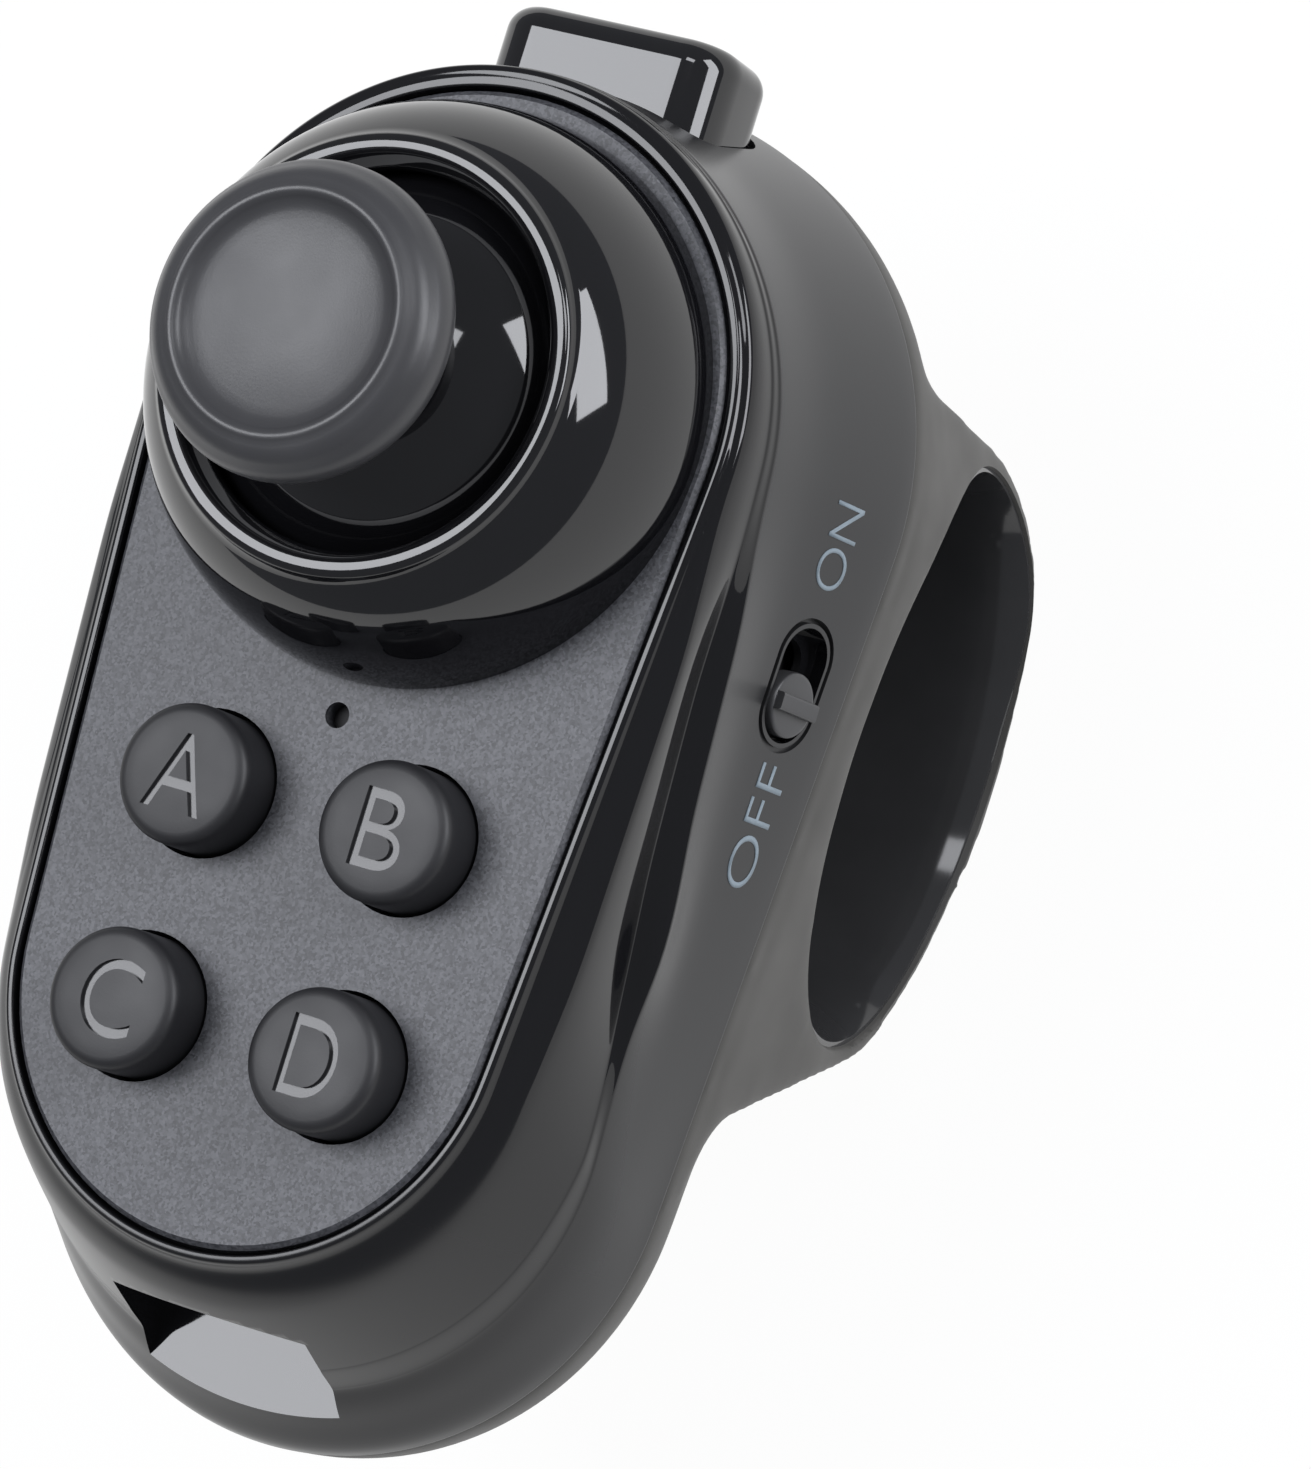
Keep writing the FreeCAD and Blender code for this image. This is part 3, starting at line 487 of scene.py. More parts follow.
def swell(obj, outline, factor, low, high, fade):
    """Widen one outline between two stations along y, and fade the widening out beyond them."""
    edit(obj)
    pick(lambda v: lies_on(v, outline))
    bpy.ops.mesh.hide(unselected=True)
    pick(lambda v: not v.hide and low < v.co.y < high and abs(v.co.x) > 10)
    bpy.ops.transform.resize(value=(factor, 1, 1), center_override=(0, 0, 0), use_proportional_edit=True,
                             proportional_edit_falloff="SMOOTH", proportional_size=fade)
    bpy.ops.mesh.reveal()
    leave()


swell(housing, BEND, 1.026, 3, 24, 6)
swell(housing, TURN, 1.022, 3, 24, 6)
swell(housing, STEEP, 1.006, 3, 24, 6)
for outline in FOOT_RINGS:
    swell(housing, outline, 0.975, 1, 22, 6)
for outline in CREASE_RINGS:
    swell(housing, outline, 1.027, 4, 24, 5)
for outline in CREASE_RINGS:
    swell(housing, outline, 1.018, 6, 10, 3.5)

edit(housing)
pick(lambda v: any(lies_on(v, outline) for outline in FOOT_RINGS))
bpy.ops.mesh.hide(unselected=True)
pick(lambda v: not v.hide and 0 < v.co.y < 5)
bpy.ops.transform.translate(value=(0, 0, -0.8), use_proportional_edit=True,
                            proportional_edit_falloff="SMOOTH", proportional_size=8)
bpy.ops.mesh.reveal()
leave()
print("housing width after the moves:", round(housing.dimensions.x, 2))

# %% [markdown]
# ## Camera
#
# The camera stands where the photographer's stood. Its place, turn and lens were found by fitting
# the outline of the plate, the key circles, the collar and the cap to what the photograph shows
# of them. Moving it by eye would leave the sizes and the perspective to trade against each other.

# %% Camera at the photograph's place
camera_data = bpy.data.cameras.new("camera")
camera_data.sensor_fit = "VERTICAL"
camera_data.sensor_height = 24
camera_data.sensor_width = 24
camera_data.lens = 98.03
camera_data.clip_start = 0.01
camera_data.clip_end = 20
camera = bpy.data.objects.new("camera", camera_data)
turn = Matrix(((0.8754, 0.2939, -0.3837),
               (-0.2412, 0.9536, 0.18),
               (0.4188, -0.0651, 0.9057))).transposed()
camera.matrix_world = Matrix.Translation(on_face(136.159, -1.704, 258.509)) @ turn.to_4x4()
bpy.context.scene.collection.objects.link(camera)
bpy.context.scene.camera = camera
print("camera lens:", camera_data.lens)

# %% [markdown]
# ## Openings in the housing
#
# The trigger and the charging port come through rounded rectangular openings. The switch sits
# in a stadium-shaped recess with a fine groove round it, laid on the leaning side wall. All are
# cut out of the finished shell with plain blocks, as the slides of a mould leave them, and each
# block brings the finish of the faces that it leaves. Building the openings into the outlines
# would bend the polished wall round them.

# %% Openings for the trigger, the charging port and the switch
def rounded_block(size, centre, round_axis, radius, segments=8):
    """A cube of a size, with the four edges along one axis rounded."""
    bpy.ops.mesh.primitive_cube_add(size=1, location=centre)
    obj = bpy.context.object
    obj.scale = size
    bpy.ops.object.transform_apply(location=True, rotation=True, scale=True)
    edit(obj)
    pick(lambda e: abs((e.verts[0].co - e.verts[1].co)[round_axis]) > 0.9 * size[round_axis], "edges")
    bpy.ops.mesh.bevel(offset=radius, segments=segments, affect="EDGES")
    leave()
    return obj


def give(obj, *materials):
    """Put materials in an object's slots. Its faces use the first."""
    obj.data.materials.clear()
    for material in materials:
        obj.data.materials.append(material)


TRIGGER_GAP = 0.5
TRIGGER_W = 13.2
TRIGGER_TOP = -5.9
TRIGGER_BOTTOM = -13.6
TRIGGER_MID = (TRIGGER_TOP + TRIGGER_BOTTOM) / 2
TRIGGER_END = BIG_Y + PLATE_BIG_R + 5.9
SWITCH_AT = Vector((18.0, 21.8, -11.0))
SWITCH_LEAN = math.radians(14)
PORT_SIZE = (8, 9.4, 3.7)
PORT_AT = (-19, 14, -8)
GROOVE = (6.9, 4.3)
GROOVE_INSIDE = (6.36, 3.76)
GROOVE_DEPTH = 0.28
KNOB_RECESS = (5.9, 3.4)
KNOB_SLOT = (4.4, 2.4)

apply_modifier(housing, "SUBSURF", levels=2, render_levels=2)
give(housing, shell)
smooth(housing, 40)

opening = rounded_block((TRIGGER_W + TRIGGER_GAP, 12, TRIGGER_TOP - TRIGGER_BOTTOM + TRIGGER_GAP),
                        (0, BIG_Y + 18, TRIGGER_MID), 1, 2.6)
give(opening, inner_black)
cut(housing, opening)

port_opening = rounded_block(PORT_SIZE, PORT_AT, 0, 1.4)
give(port_opening, inner_black)
cut(housing, port_opening)


def on_wall(obj):
    """Lay an object, drawn flat about the origin with z outward, on the side wall at the switch."""
    obj.matrix_world = (Matrix.Translation(SWITCH_AT)
                        @ Matrix.Rotation(math.radians(90) - SWITCH_LEAN, 4, "Y") @ obj.matrix_world)
    bpy.context.view_layer.update()
    only(obj)
    bpy.ops.object.transform_apply(location=True, rotation=True, scale=True)
    return obj


def slot_block(length, width, low, high, turns=48):
    """A stadium-shaped block along y, between two heights: a cylinder whose front half is moved away."""
    bpy.ops.mesh.primitive_cylinder_add(vertices=turns, radius=width / 2, depth=high - low,
                                        location=(0, (width - length) / 2, (low + high) / 2))
    obj = bpy.context.object
    bpy.ops.object.transform_apply(location=True, rotation=True, scale=True)
    edit(obj)
    pick(lambda v: v.co.y > (width - length) / 2 - 0.001)
    bpy.ops.transform.translate(value=(0, length - width, 0))
    leave()
    return obj


groove = slot_block(*GROOVE, -GROOVE_DEPTH, 2)
rim = slot_block(*GROOVE_INSIDE, -1, 3)
cut(groove, rim)
give(groove, satin)
cut(housing, on_wall(groove))
recess = slot_block(*KNOB_RECESS, -1.0, 2)
give(recess, polished)
cut(housing, on_wall(recess))
slide = slot_block(*KNOB_SLOT, -3.5, -0.5)
give(slide, inner_black)
cut(housing, on_wall(slide))
print("housing faces with its openings:", len(housing.data.polygons))

# %% [markdown]
# ## Recess in the chin
#
# At the tail a pocket is sunk into the body from the face. Its floor is level and polished, and
# it has walls of its own behind the shell. A block that is trimmed to the inside of the body is
# joined to the shell as solid plastic, and the pocket is cut out of both. Cutting the thin shell
# alone would leave a hole with no walls.

# %% Pocket with a level polished floor and its own walls
RECESS_FLOOR = -11.9
RECESS_W = 11.2
RECESS_BACK = -16.1
RECESS_WALL = 1.2


def block(low, high):
    """A cube stretched between two corners."""
    bpy.ops.mesh.primitive_cube_add(size=1, location=[(a + b) / 2 for a, b in zip(low, high)])
    obj = bpy.context.object
    obj.scale = [b - a for a, b in zip(low, high)]
    bpy.ops.object.transform_apply(location=True, rotation=True, scale=True)
    return obj


pocket_walls = block((-RECESS_W / 2 - RECESS_WALL, -24, RECESS_FLOOR - RECESS_WALL),
                     (RECESS_W / 2 + RECESS_WALL, RECESS_BACK + RECESS_WALL, -3.0))
inside_form = egg_shell("inside form", [
    (15.2, 14.4, BIG_Y, -0.3, -2.5),
    (18.6, 17.0, BIG_Y - 0.4, -3.9, -14.0),
], cuts=0)
cut(pocket_walls, inside_form, "INTERSECT")
give(pocket_walls, shell)
cut(housing, pocket_walls, "UNION")
pocket = block((-RECESS_W / 2, -30, RECESS_FLOOR), (RECESS_W / 2, RECESS_BACK, 5))
give(pocket, polished)
cut(housing, pocket)
smooth(housing, 40)
place(housing, "housing_skin", "housing", "satin_black", "front_housing")

# %% [markdown]
# ## Turned pieces
#
# The collar, the stick's dome, its cap and the keys are all round. Each is made as on a lathe:
# a circle is the first edge of the profile, and it is extruded and resized from point to point.
# That keeps even rings of quads, which shade cleanly when the plastic is polished.

# %% Lathe helpers
def through(a, b, c, steps):
    """Points on the parabola through three points, without the first."""
    points = []
    for k in range(1, steps + 1):
        t = k / steps
        wa, wb, wc = (1 - t) * (1 - 2 * t), 4 * t * (1 - t), t * (2 * t - 1)
        points.append((wa * a[0] + wb * b[0] + wc * c[0], wa * a[1] + wb * b[1] + wc * c[1]))
    return points


def turned(name, x, y, profile, closed=False, turns=128):
    """Extrude and resize a circle from one point of a profile, radius and height, to the next.
    A closed profile makes a ring, and an open one gets a flat face at both ends."""
    radius, height = profile[0]
    bpy.ops.mesh.primitive_circle_add(vertices=turns, radius=radius, location=(x, y, height))
    obj = bpy.context.object
    obj.name = name
    bpy.ops.object.transform_apply(location=True, rotation=True, scale=True)
    edit(obj)
    if not closed:
        bpy.ops.mesh.select_all(action="SELECT")
        bpy.ops.mesh.edge_face_add()
    bpy.ops.mesh.select_mode(type="EDGE")
    bpy.ops.mesh.select_all(action="SELECT")
    for (r0, z0), (r1, z1) in zip(profile, profile[1:]):
        bpy.ops.mesh.extrude_edges_move(TRANSFORM_OT_translate={"value": (0, 0, z1 - z0)})
        bpy.ops.transform.resize(value=(r1 / r0, r1 / r0, 1), center_override=(x, y, z1))
    if closed:
        last = len(profile) - 1
        pick(lambda v: v.index // turns in (0, last))
        bpy.ops.mesh.select_mode(type="EDGE")
        bpy.ops.mesh.bridge_edge_loops()
    else:
        bpy.ops.mesh.edge_face_add()
    bpy.ops.mesh.select_all(action="SELECT")
    bpy.ops.mesh.normals_make_consistent(inside=False)
    leave()
    return obj


def ball(radius, polar, centre_z=-PIVOT_DEPTH):
    """A point of a ball's profile at an angle from its top."""
    return (radius * math.sin(math.radians(polar)), radius * math.cos(math.radians(polar)) + centre_z)


# %% [markdown]
# ## Collar
#
# The collar is a polished ring whose flank bulges outward up to a rounded rim. It is hollowed by
# a ball that is a little larger than the dome that turns in it. The flank is one parabola,
# because polish shows every kink between short straight pieces.

# %% Collar, hollow to the ball of the dome
COLLAR_R = 14.57
SOCKET_R = 13.1

collar = turned("collar", 0, STICK_Y, [
    (13.0, 0.0), (COLLAR_R, 0.0), (COLLAR_R, 0.3),
    *through((COLLAR_R, 0.55), (13.4, 5.2), (10.98, 8.38), 18),
    (10.94, 8.58), (10.87, 8.73), (10.76, 8.82), (10.62, 8.86), (10.44, 8.88), (10.24, 8.89), (10.08, 8.87),
    (9.95, 8.8), (9.84, 8.67), (9.72, 8.4), (9.5, 7.95), (9.4, 7.6), (9.4, 7.2),
    *through(ball(SOCKET_R, 46), ball(SOCKET_R, 62), ball(SOCKET_R, 80), 8),
], closed=True)
give(collar, polished)
smooth(collar, 60)
place(collar, "collar", "housing", "gloss_black", "stick_collar")

# %% [markdown]
# ## Dome
#
# The dome is the polished skirt that moves with the stick and closes the collar at every tilt.
# So it is a shell of a ball about the stick's pivot, with the neck that carries the cap. Its
# points are taken from the ball itself, which keeps its gap to the collar even.

# %% Ball shell about the stick's pivot, with its neck
DOME_R = 12.6
DOME_INSIDE_R = 11.6
DOME_EDGE = 66
NECK_R = 4.15
NECK_TOP = 11.6
NECK_BORE_R = 1.7

dome = turned("dome", 0, STICK_Y, [
    ball(DOME_INSIDE_R, DOME_EDGE),
    *[ball(DOME_R, DOME_EDGE - 3 * k) for k in range(16)],
    ball(DOME_R, 19.5),
    (NECK_R, 10.4), (NECK_R, NECK_TOP), (NECK_BORE_R, NECK_TOP), (NECK_BORE_R, 9.45),
    *[ball(DOME_INSIDE_R, 8 + 6 * k) for k in range(1, 9)],
], closed=True)
give(dome, polished)
smooth(dome, 60)
place(dome, "dome", "stick", "gloss_black", "stick_dome")

# %% [markdown]
# ## Cap
#
# The thumb rests on a matte cap with a tapered foot, a round shoulder, a raised lip and a
# dished top. The real one is round about its axis, so one profile gives all of it.

# %% Cap with a lip and a dished top
cap = turned("cap", 0, STICK_Y, [
    (2.0, NECK_TOP), (5.7, NECK_TOP), (5.86, 11.66), (5.93, 11.8), (6.05, 12.1), (6.5, 12.75),
    *through((7.0, 13.5), (7.74, 15.0), (7.3, 16.2), 14),
    *through((7.3, 16.2), (6.85, 16.72), (6.22, 16.98), 6),
    (6.12, 17.04), (6.0, 17.1), (5.84, 17.1), (5.7, 17.04), (5.55, 16.92), (5.42, 16.78),
    *through((5.3, 16.7), (2.7, 16.3), (0.02, 16.1), 12),
])
give(cap, cap_rubber)
smooth(cap, 60)
place(cap, "cap", "stick", "cap_rubber", "stick_cap")

# %% [markdown]
# ## Keys with engraved letters
#
# Each key is a soft-edged round block with its letter sunk into it. The letter's floor is
# polished, so it catches the light while the key stays matte. The letter is a text object that
# is made a mesh, scaled to the size of the real letter and cut out of the key, and the cut faces
# keep the letter's own polished material.

# %% Text as a solid of a given height
def letter_solid(text, height, width, depth, offset=0.0):
    """Text made a mesh, centred on the origin, scaled to a height and width, with a thickness or flat."""
    bpy.ops.object.text_add(location=(0, 0, 0))
    obj = bpy.context.object
    obj.data.body = text
    obj.data.align_x = "CENTER"
    obj.data.extrude = 0.5 if depth else 0.0
    obj.data.offset = offset
    obj.data.resolution_u = 8
    only(obj)
    bpy.ops.object.convert(target="MESH")
    corners = [Vector(c) for c in obj.bound_box]
    low = Vector([min(c[k] for c in corners) for k in range(3)])
    high = Vector([max(c[k] for c in corners) for k in range(3)])
    centre = (low + high) / 2
    edit(obj)
    bpy.ops.mesh.select_all(action="SELECT")
    bpy.ops.mesh.remove_doubles(threshold=0.0001)
    bpy.ops.transform.translate(value=-centre)
    bpy.ops.transform.resize(value=(width / (high.x - low.x), height / (high.y - low.y), depth or 1),
                             center_override=(0, 0, 0))
    leave()
    return obj


# %% The four keys
LETTER_H = 3.9
LETTER_T = 0.9
LETTER_RISE = 0.22
LETTER_WIDTHS = {"a": 3.3, "b": 2.6, "c": 3.1, "d": 2.9}
KEY_R = 3.55
KEY_TOP = 3.08

for name, (x, y) in KEYS.items():
    key = turned("key_" + name, x, y, [
        (KEY_R, -2.2), (KEY_R, -1.0), (KEY_R, 0.5), (KEY_R, 2.0),
        *through((KEY_R, 2.3), (3.4, 2.78), (2.95, 3.0), 8),
        (2.4, 3.05), (1.6, 3.07), (0.8, KEY_TOP), (0.02, KEY_TOP),
    ], turns=96)
    give(key, key_black)
    letter = letter_solid(name.upper(), LETTER_H, LETTER_WIDTHS[name], LETTER_T)
    give(letter, letter_gloss)
    letter.matrix_world = Matrix.Translation((x, y, KEY_TOP + LETTER_RISE))
    only(letter)
    bpy.ops.object.transform_apply(location=True, rotation=True, scale=True)
    cut(key, letter)
    smooth(key, 40)
    place(key, "key_" + name + "_cap", "key_" + name, "key_black", "button_" + name)

# %% [markdown]
# ## Trigger
#
# The trigger is a polished block. Its four long edges are well rounded, and a smaller round runs
# about its front face, so the softbox shows on it as a patch with soft ends and not as one flat
# tone. Both rounds are bevels with many segments, because few would show as stripes in polish.

# %% Block with round edges
TRIGGER_BACK = 12.0
TRIGGER_ROUND = 2.7
TRIGGER_FRONT_ROUND = 1.35

trigger = rounded_block((TRIGGER_W, TRIGGER_END - BIG_Y - TRIGGER_BACK, TRIGGER_TOP - TRIGGER_BOTTOM),
                        (0, (TRIGGER_END + BIG_Y + TRIGGER_BACK) / 2, TRIGGER_MID),
                        1, TRIGGER_ROUND, 14)
edit(trigger)
pick(lambda f: f.normal.y > 0.9, "faces")
bpy.ops.mesh.bevel(offset=TRIGGER_FRONT_ROUND, segments=10, affect="EDGES")
leave()
give(trigger, polished)
smooth(trigger, 50)
place(trigger, "trigger_skin", "trigger", "gloss_black", "trigger_button")

# %% [markdown]
# ## Finger ring
#
# The ring's bore is oval and narrowest halfway, so a finger slides in from either side, and its
# two mouths flare out in a small arc. It is lined with a thin polished sleeve whose ends follow
# the body's egg shape. The sleeve is an oval tube, extruded ring by ring along x, hollowed by a
# second tube and trimmed by an egg-shaped form that narrows downward as the ring does. A lathe
# can't make it, because its sections are ovals.

# %% Sleeve of the bore
BORE_HALF = 20.0
BORE_MOUTH = (15.6, 10.5)
BORE_WAIST = (13.8, 9.4)
FLARE_FROM = 14.2
FLARE_R = 12.0
SLEEVE_T = 0.3
RING_BOTTOM = -45.1


def bore_tube(name, grow, flared=True, half=BORE_HALF, steps=60, turns=160):
    """A closed oval tube along x, wider than the bore by grow all round: a circle that is
    stretched to each oval section in turn."""
    bpy.ops.mesh.primitive_circle_add(vertices=turns, radius=1, location=(0, 0, 0),
                                      rotation=(0, math.pi / 2, 0))
    obj = bpy.context.object
    obj.name = name
    bpy.ops.object.transform_apply(location=True, rotation=True, scale=True)
    edit(obj)
    bpy.ops.mesh.select_mode(type="EDGE")
    bpy.ops.mesh.select_all(action="SELECT")
    bpy.ops.mesh.edge_face_add()
    last = (1.0, 1.0)
    for k in range(steps + 1):
        x = half * (2 * k / steps - 1)
        share = (x / BORE_HALF) ** 2
        flare = flared * (FLARE_R - math.sqrt(FLARE_R ** 2 - max(abs(x) - FLARE_FROM, 0) ** 2))
        size = [w + (m - w) * share + grow + flare for w, m in zip(BORE_WAIST, BORE_MOUTH)]
        if k:
            bpy.ops.mesh.extrude_edges_move(TRANSFORM_OT_translate={"value": (2 * half / steps, 0, 0)})
        else:
            bpy.ops.transform.translate(value=(-half, 0, 0))
        bpy.ops.transform.resize(value=(1, size[0] / last[0], size[1] / last[1]), center_override=(x, 0, 0))
        last = size
    bpy.ops.mesh.edge_face_add()
    bpy.ops.mesh.select_all(action="SELECT")
    bpy.ops.mesh.normals_make_consistent(inside=False)
    bpy.ops.transform.translate(value=(0, BORE_Y, -BORE_DEPTH))
    leave()
    return obj


def ring_form(inset):
    """The body's outline carried down past the ring, and a little narrower there."""
    return egg_shell("ring form", [
        seam_egg(-inset, -SEAM_DEPTH),
        (SEAM_BIG_R - inset - 2.0, SEAM_SMALL_R - inset - 0.6, SEAM_BIG_Y, SEAM_SMALL_Y, RING_BOTTOM),
    ], cuts=0)


liner = bore_tube("liner", SLEEVE_T)
cut(liner, bore_tube("finger hole", 0.0, half=BORE_HALF + 0.4))
cut(liner, ring_form(0.3), "INTERSECT")
give(liner, sleeve_black)
smooth(liner, 40)
place(liner, "ring_sleeve", "housing", "gloss_black", "ring_liner")

# %% [markdown]
# ## Rear cover
#
# The cover is the tub that closes the housing and the ring under it, moulded in one piece, with
# soft edges and no flat facet anywhere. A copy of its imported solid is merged, and a plug fills
# its bore, because the wall round the bore is thinner than a rebuilt skin can follow. The whole
# is rebuilt as an even skin of small quads, and that skin is relaxed, which rounds every edge by
# a few tenths of a millimetre. Then the flared bore is cut out again, with a clean edge.
# Bevelling the edges one by one would stop at the blends round the ring.

# %% Rebuilt and relaxed cover
MERGE_GAP = 0.000001
PLUG_GROW = 0.9
SKIN_STEP = 0.00035
RELAX_STEPS = 24
SLEEVE_LAP = 0.02

source = nodes["rear_cover"]
cover = source.copy()
cover.data = source.data.copy()
cover.parent = None
bpy.context.scene.collection.objects.link(cover)
edit(cover)
bpy.ops.mesh.select_all(action="SELECT")
bpy.ops.mesh.remove_doubles(threshold=MERGE_GAP)
leave()
plug = bore_tube("plug", PLUG_GROW, flared=False)
cut(plug, ring_form(0.1), "INTERSECT")
cut(cover, in_row_frame(plug), "UNION")
apply_modifier(cover, "REMESH", mode="VOXEL", voxel_size=SKIN_STEP, adaptivity=0.0)
apply_modifier(cover, "SMOOTH", factor=0.5, iterations=RELAX_STEPS)
give(cover, soft_grey)
mouth = in_row_frame(bore_tube("mouth", SLEEVE_T - SLEEVE_LAP, half=BORE_HALF + 0.6))
give(mouth, soft_grey)
cut(cover, mouth)
smooth(cover, 60)
cover.name = "rear_cover_skin"
give(cover, soft_grey)
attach(cover, "housing")
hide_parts("rear_cover")
print("rear_cover_skin faces", len(cover.data.polygons))

# %% [markdown]
# ## Power switch
#
# The knob is a low disc on a stem, with a rib across it for the nail. The disc is turned and the
# rib is joined to it, flat about the origin, and the whole is then laid on the leaning wall.
# That keeps its profile as readable as on a drawing.

# %% Knob
knob = turned("knob", 0, -1.0, [
    (0.9, -3.0), (0.9, -0.7), (1.65, -0.7), (1.65, 0.0),
    *through((1.65, 0.05), (1.6, 0.2), (1.42, 0.25), 5), (0.6, 0.27), (0.02, 0.28),
], turns=64)
rib = rounded_block((3.0, 0.9, 0.75), (0, -1.0, 0.33), 0, 0.16, 4)
cut(knob, rib, "UNION")
give(knob, knob_grey)
on_wall(knob)
smooth(knob, 40)
place(knob, "knob", "power_knob", "knob_grey", "switch_knob")

# %% [markdown]
# ## Printed words
#
# The words ON and OFF are printed on the curved wall with a soft pad, so they are a film of ink
# with no edge to feel. Flat text is laid beside the knob, projected on the wall and given the
# ink's thickness. A picture of the words would blur, and cut letters would be too deep.

# %% Words of ink on the wall
INK_T = 0.00003
INK_COLOUR = (0.235, 0.29, 0.33)
WORD_H = 2.15
WORD_THINNER = -0.012

ink, shader = new_material("printed ink", INK_COLOUR, 0.45)
vary(ink, shader, INK_COLOUR, 1500, 0.06)
for word, along, across, width in (("ON", 7.1, 0.3, 4.4), ("OFF", -7.2, -0.75, 6.3)):
    words = letter_solid(word, WORD_H, width, 0.0, WORD_THINNER)
    words.matrix_world = (Matrix.Translation((-across, along, 0.5))
                          @ Matrix.Rotation(math.radians(90), 4, "Z"))
    on_wall(words)
    give(words, ink)
    place(words, "print_" + word.lower(), "housing", "knob_grey")
    apply_modifier(words, "SHRINKWRAP", target=housing, wrap_method="PROJECT", use_project_x=True,
                   use_negative_direction=True, use_positive_direction=True, offset=INK_T / 2)
    apply_modifier(words, "SOLIDIFY", thickness=INK_T, offset=0)

# %% [markdown]
# ## Finishes of the solids that stay
#
# The plate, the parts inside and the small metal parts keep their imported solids, because they
# are flat or out of sight. Each gets a finish of its own kind in place of the flat packed colour.

# %% Materials for the rest
BOARD_GREEN = (0.02, 0.09, 0.045)
# Painted shade: the light pipe is coloured near black to stand for the shade in its pinhole.
PINHOLE_SHADE = (0.006, 0.006, 0.007)

board, shader = new_material("circuit board", BOARD_GREEN, 0.4)
vary(board, shader, BOARD_GREEN, 900, 0.25)
steel, shader = new_material("plain steel", (0.5, 0.5, 0.52), 0.3, metallic=1.0)
link(steel, spread(steel, noise(steel, 3000).outputs[0], 0.22, 0.4), shader.inputs["Roughness"])
foil, shader = new_material("cell foil", (0.6, 0.6, 0.62), 0.28, metallic=1.0)
grain(foil, shader, 500, 0.00004)
chip = plastic("chip package", (0.015, 0.015, 0.016), 0.45, 0.05, 6000, 0.000003)
foam = plastic("foam pad", (0.03, 0.03, 0.03), 0.9, 0.05, 2500, 0.00004, 0.3)
# The light pipe gets painted shade: near black and dull, so its pinhole shows plain black.
guide, shader = new_material("light guide painted as shade", PINHOLE_SHADE, 0.5, specular=0.2)
vary(guide, shader, PINHOLE_SHADE, 700, 0.2)
carried = {
    metallic: ["face_plate"],
    guide: ["light_pipe"],
    board: ["main_pcb", "trigger_board"],
    chip: ["processor_chip", "radio_module", "trigger_switch", "switch_body"],
    steel: ["usb_port", "housing_screws", "stick_spring", "stick_frame"],
    foil: ["battery"],
    foam: ["battery_pad"],
}
dressed = {name: material for material, names in carried.items() for name in names}
for name, obj in nodes.items():
    give(obj, dressed.get(name, inner_black))
print("solids with a finish of their own:", len(dressed))

# %% [markdown]
# ## Table
#
# The object stands on a flat white table that fills the picture. Camera, glossy and transmission
# rays see the table almost wholly as plain white, so the background is white without more light
# on the object, and polished plastic shows it too. The small rest is the lit sheet, and carries
# the object's shadow. More lamps would whiten the table too, but would also pale the black.

# %% White table
TABLE_R = 2.0
TABLE_T = 0.03
TABLE_WHITE = (0.95, 0.95, 0.955)
PAPER_SHARE = 0.96

bpy.ops.object.select_all(action="DESELECT")
bpy.ops.mesh.primitive_circle_add(vertices=96, radius=TABLE_R, fill_type="NGON",
                                  location=(0, 0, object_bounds()[0].z))
table = bpy.context.object
table.name = "table"
edit(table)
bpy.ops.mesh.select_mode(type="EDGE")
bpy.ops.mesh.select_all(action="SELECT")
bpy.ops.mesh.extrude_edges_move(TRANSFORM_OT_translate={"value": (0, 0, -TABLE_T)})
bpy.ops.mesh.select_all(action="SELECT")
bpy.ops.mesh.normals_make_consistent(inside=False)
leave()
smooth(table, 60)
table_white, shader = new_material("table white", TABLE_WHITE, 0.6)
vary(table_white, shader, TABLE_WHITE, 3, 0.004)
rays = node(table_white, "ShaderNodeLightPath")
seen = node(table_white, "ShaderNodeMath",
            [(rays.outputs["Is Camera Ray"], 0), (rays.outputs["Is Glossy Ray"], 1)], operation="ADD")
seen = node(table_white, "ShaderNodeMath",
            [(seen.outputs[0], 0), (rays.outputs["Is Transmission Ray"], 1)],
            operation="ADD", use_clamp=True)
paper_share = node(table_white, "ShaderNodeMath", [(seen.outputs[0], 0)], operation="MULTIPLY",
                   in_1=PAPER_SHARE)
paper = node(table_white, "ShaderNodeEmission")
paper.inputs[0].default_value = (1, 1, 1, 1)
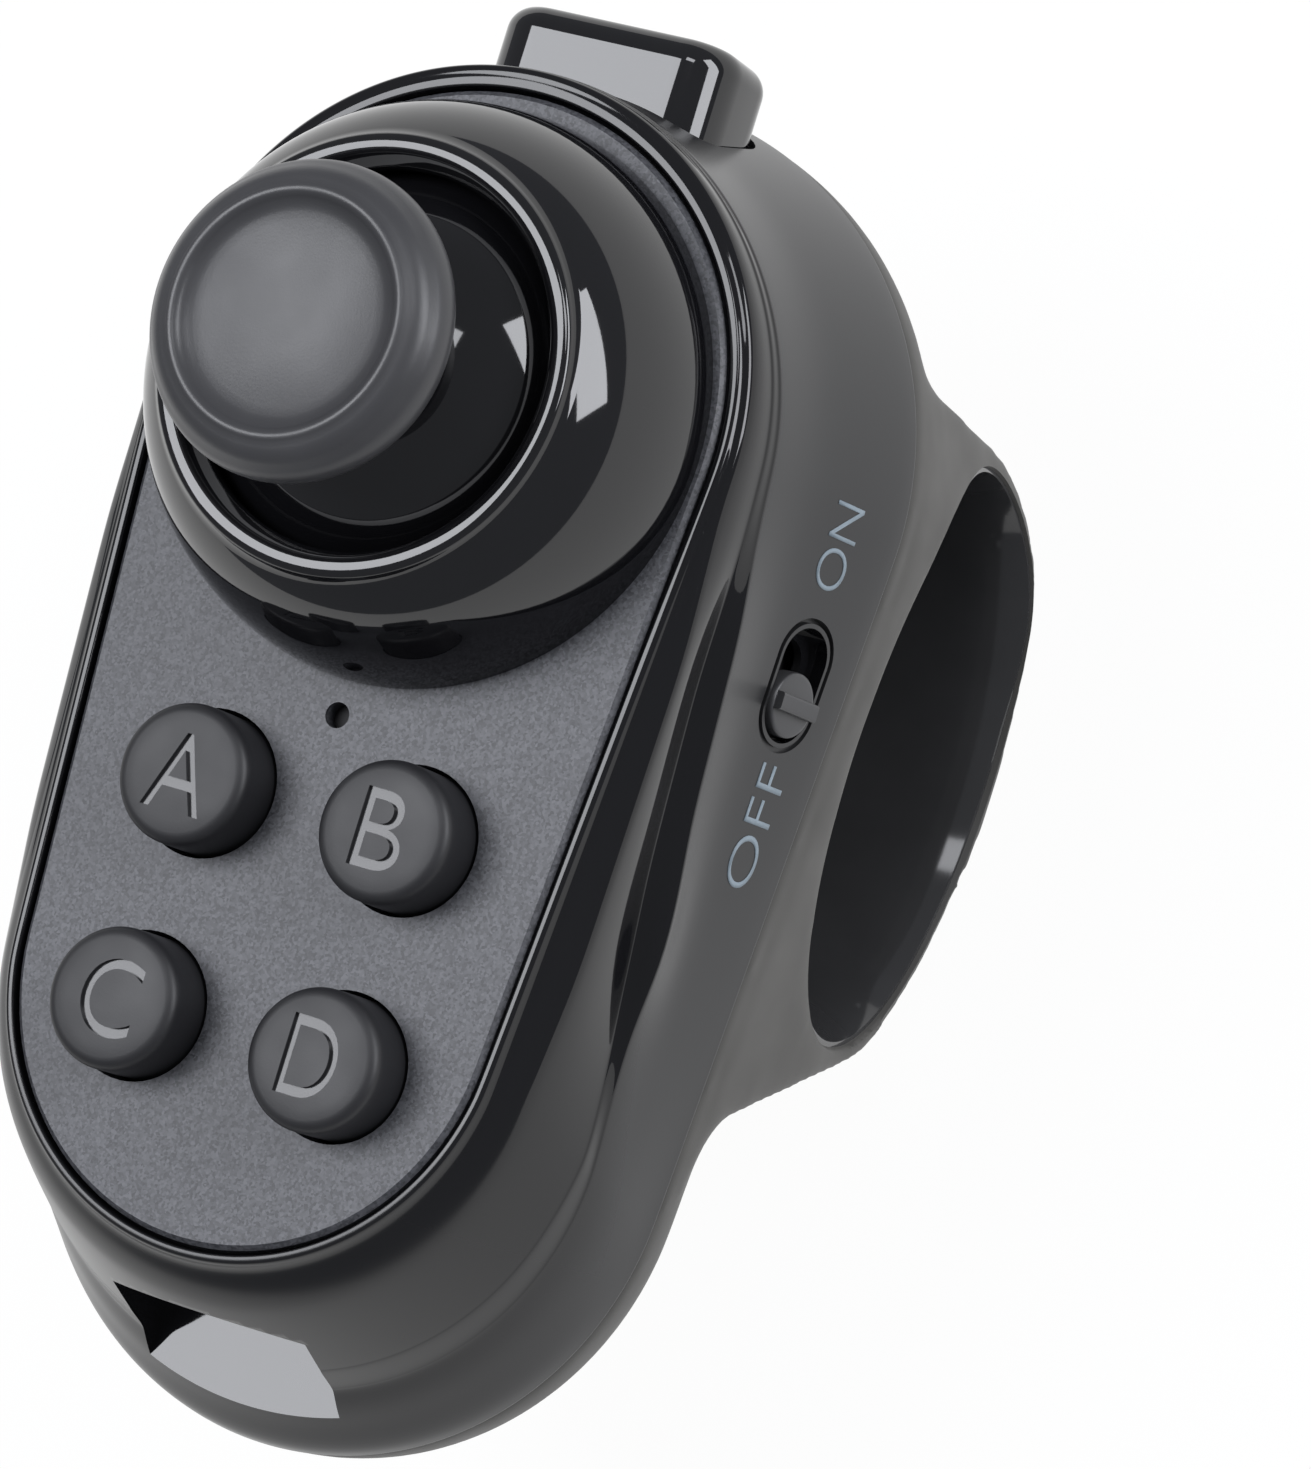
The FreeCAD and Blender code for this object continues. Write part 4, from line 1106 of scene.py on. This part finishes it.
paper_mix = node(table_white, "ShaderNodeMixShader",
                 [(paper_share.outputs[0], 0), (shader.outputs[0], 1), (paper.outputs[0], 2)])
link(table_white, paper_mix.outputs[0], table_white.node_tree.nodes["Material Output"].inputs["Surface"])
give(table, table_white)
print("table nodes:", len(table_white.node_tree.nodes))

# %% [markdown]
# ## Lamps and sky
#
# Polished black plastic shows the room more than itself, so the shapes of the lamps draw its
# edges. A large softbox over the upper left gives the broad sheen, a tall window on the right
# gives the bands on the collar and the wall, and a small window above gives the short lights.
# All three are slightly cool, and a weak sky fills the shadows. One large sky alone would wash
# out every edge.

# %% Three lamps and a weak sky
LAMP_TINT = (0.94, 0.955, 1.0)
SKY_COLOUR = (0.9, 0.93, 1.0, 1)
SKY_STRENGTH = 0.25


def lamp(name, place_at, size, power, long_side=(0, 1, 0)):
    """A rectangular softbox that faces the object. Its second size lies along long_side."""
    data = bpy.data.lights.new(name, "AREA")
    data.shape = "RECTANGLE"
    data.size, data.size_y = size
    data.energy = power
    data.color = LAMP_TINT
    obj = bpy.data.objects.new(name, data)
    obj.location = place_at
    back = Vector(place_at).normalized()
    across = Vector(long_side).cross(back).normalized()
    obj.rotation_mode = "QUATERNION"
    obj.rotation_quaternion = Matrix((across, back.cross(across), back)).transposed().to_quaternion()
    bpy.context.scene.collection.objects.link(obj)


lamp("softbox over the left", (-0.42, 0.065, 0.906), (0.6, 0.5), 7)
lamp("window on the right", (0.787, 0.418, 0.454), (0.36, 0.7), 6.3, (-0.37, 0.6, 0.23))
lamp("small window above", (0.18, 0.38, 0.91), (0.16, 0.3), 1.0, (1, -0.1, -0.16))
world = bpy.data.worlds.new("sky")
bpy.context.scene.world = world
world.use_nodes = True
sky = world.node_tree.nodes["Background"]
sky.inputs[0].default_value = SKY_COLOUR
sky.inputs[1].default_value = SKY_STRENGTH
print("lamps:", len(bpy.data.lights))

# %% [markdown]
# ## Picture settings
#
# Colours are shown as they are, without a film curve, as in a plain product picture.

# %% Picture settings
bpy.context.scene.view_settings.view_transform = "Standard"
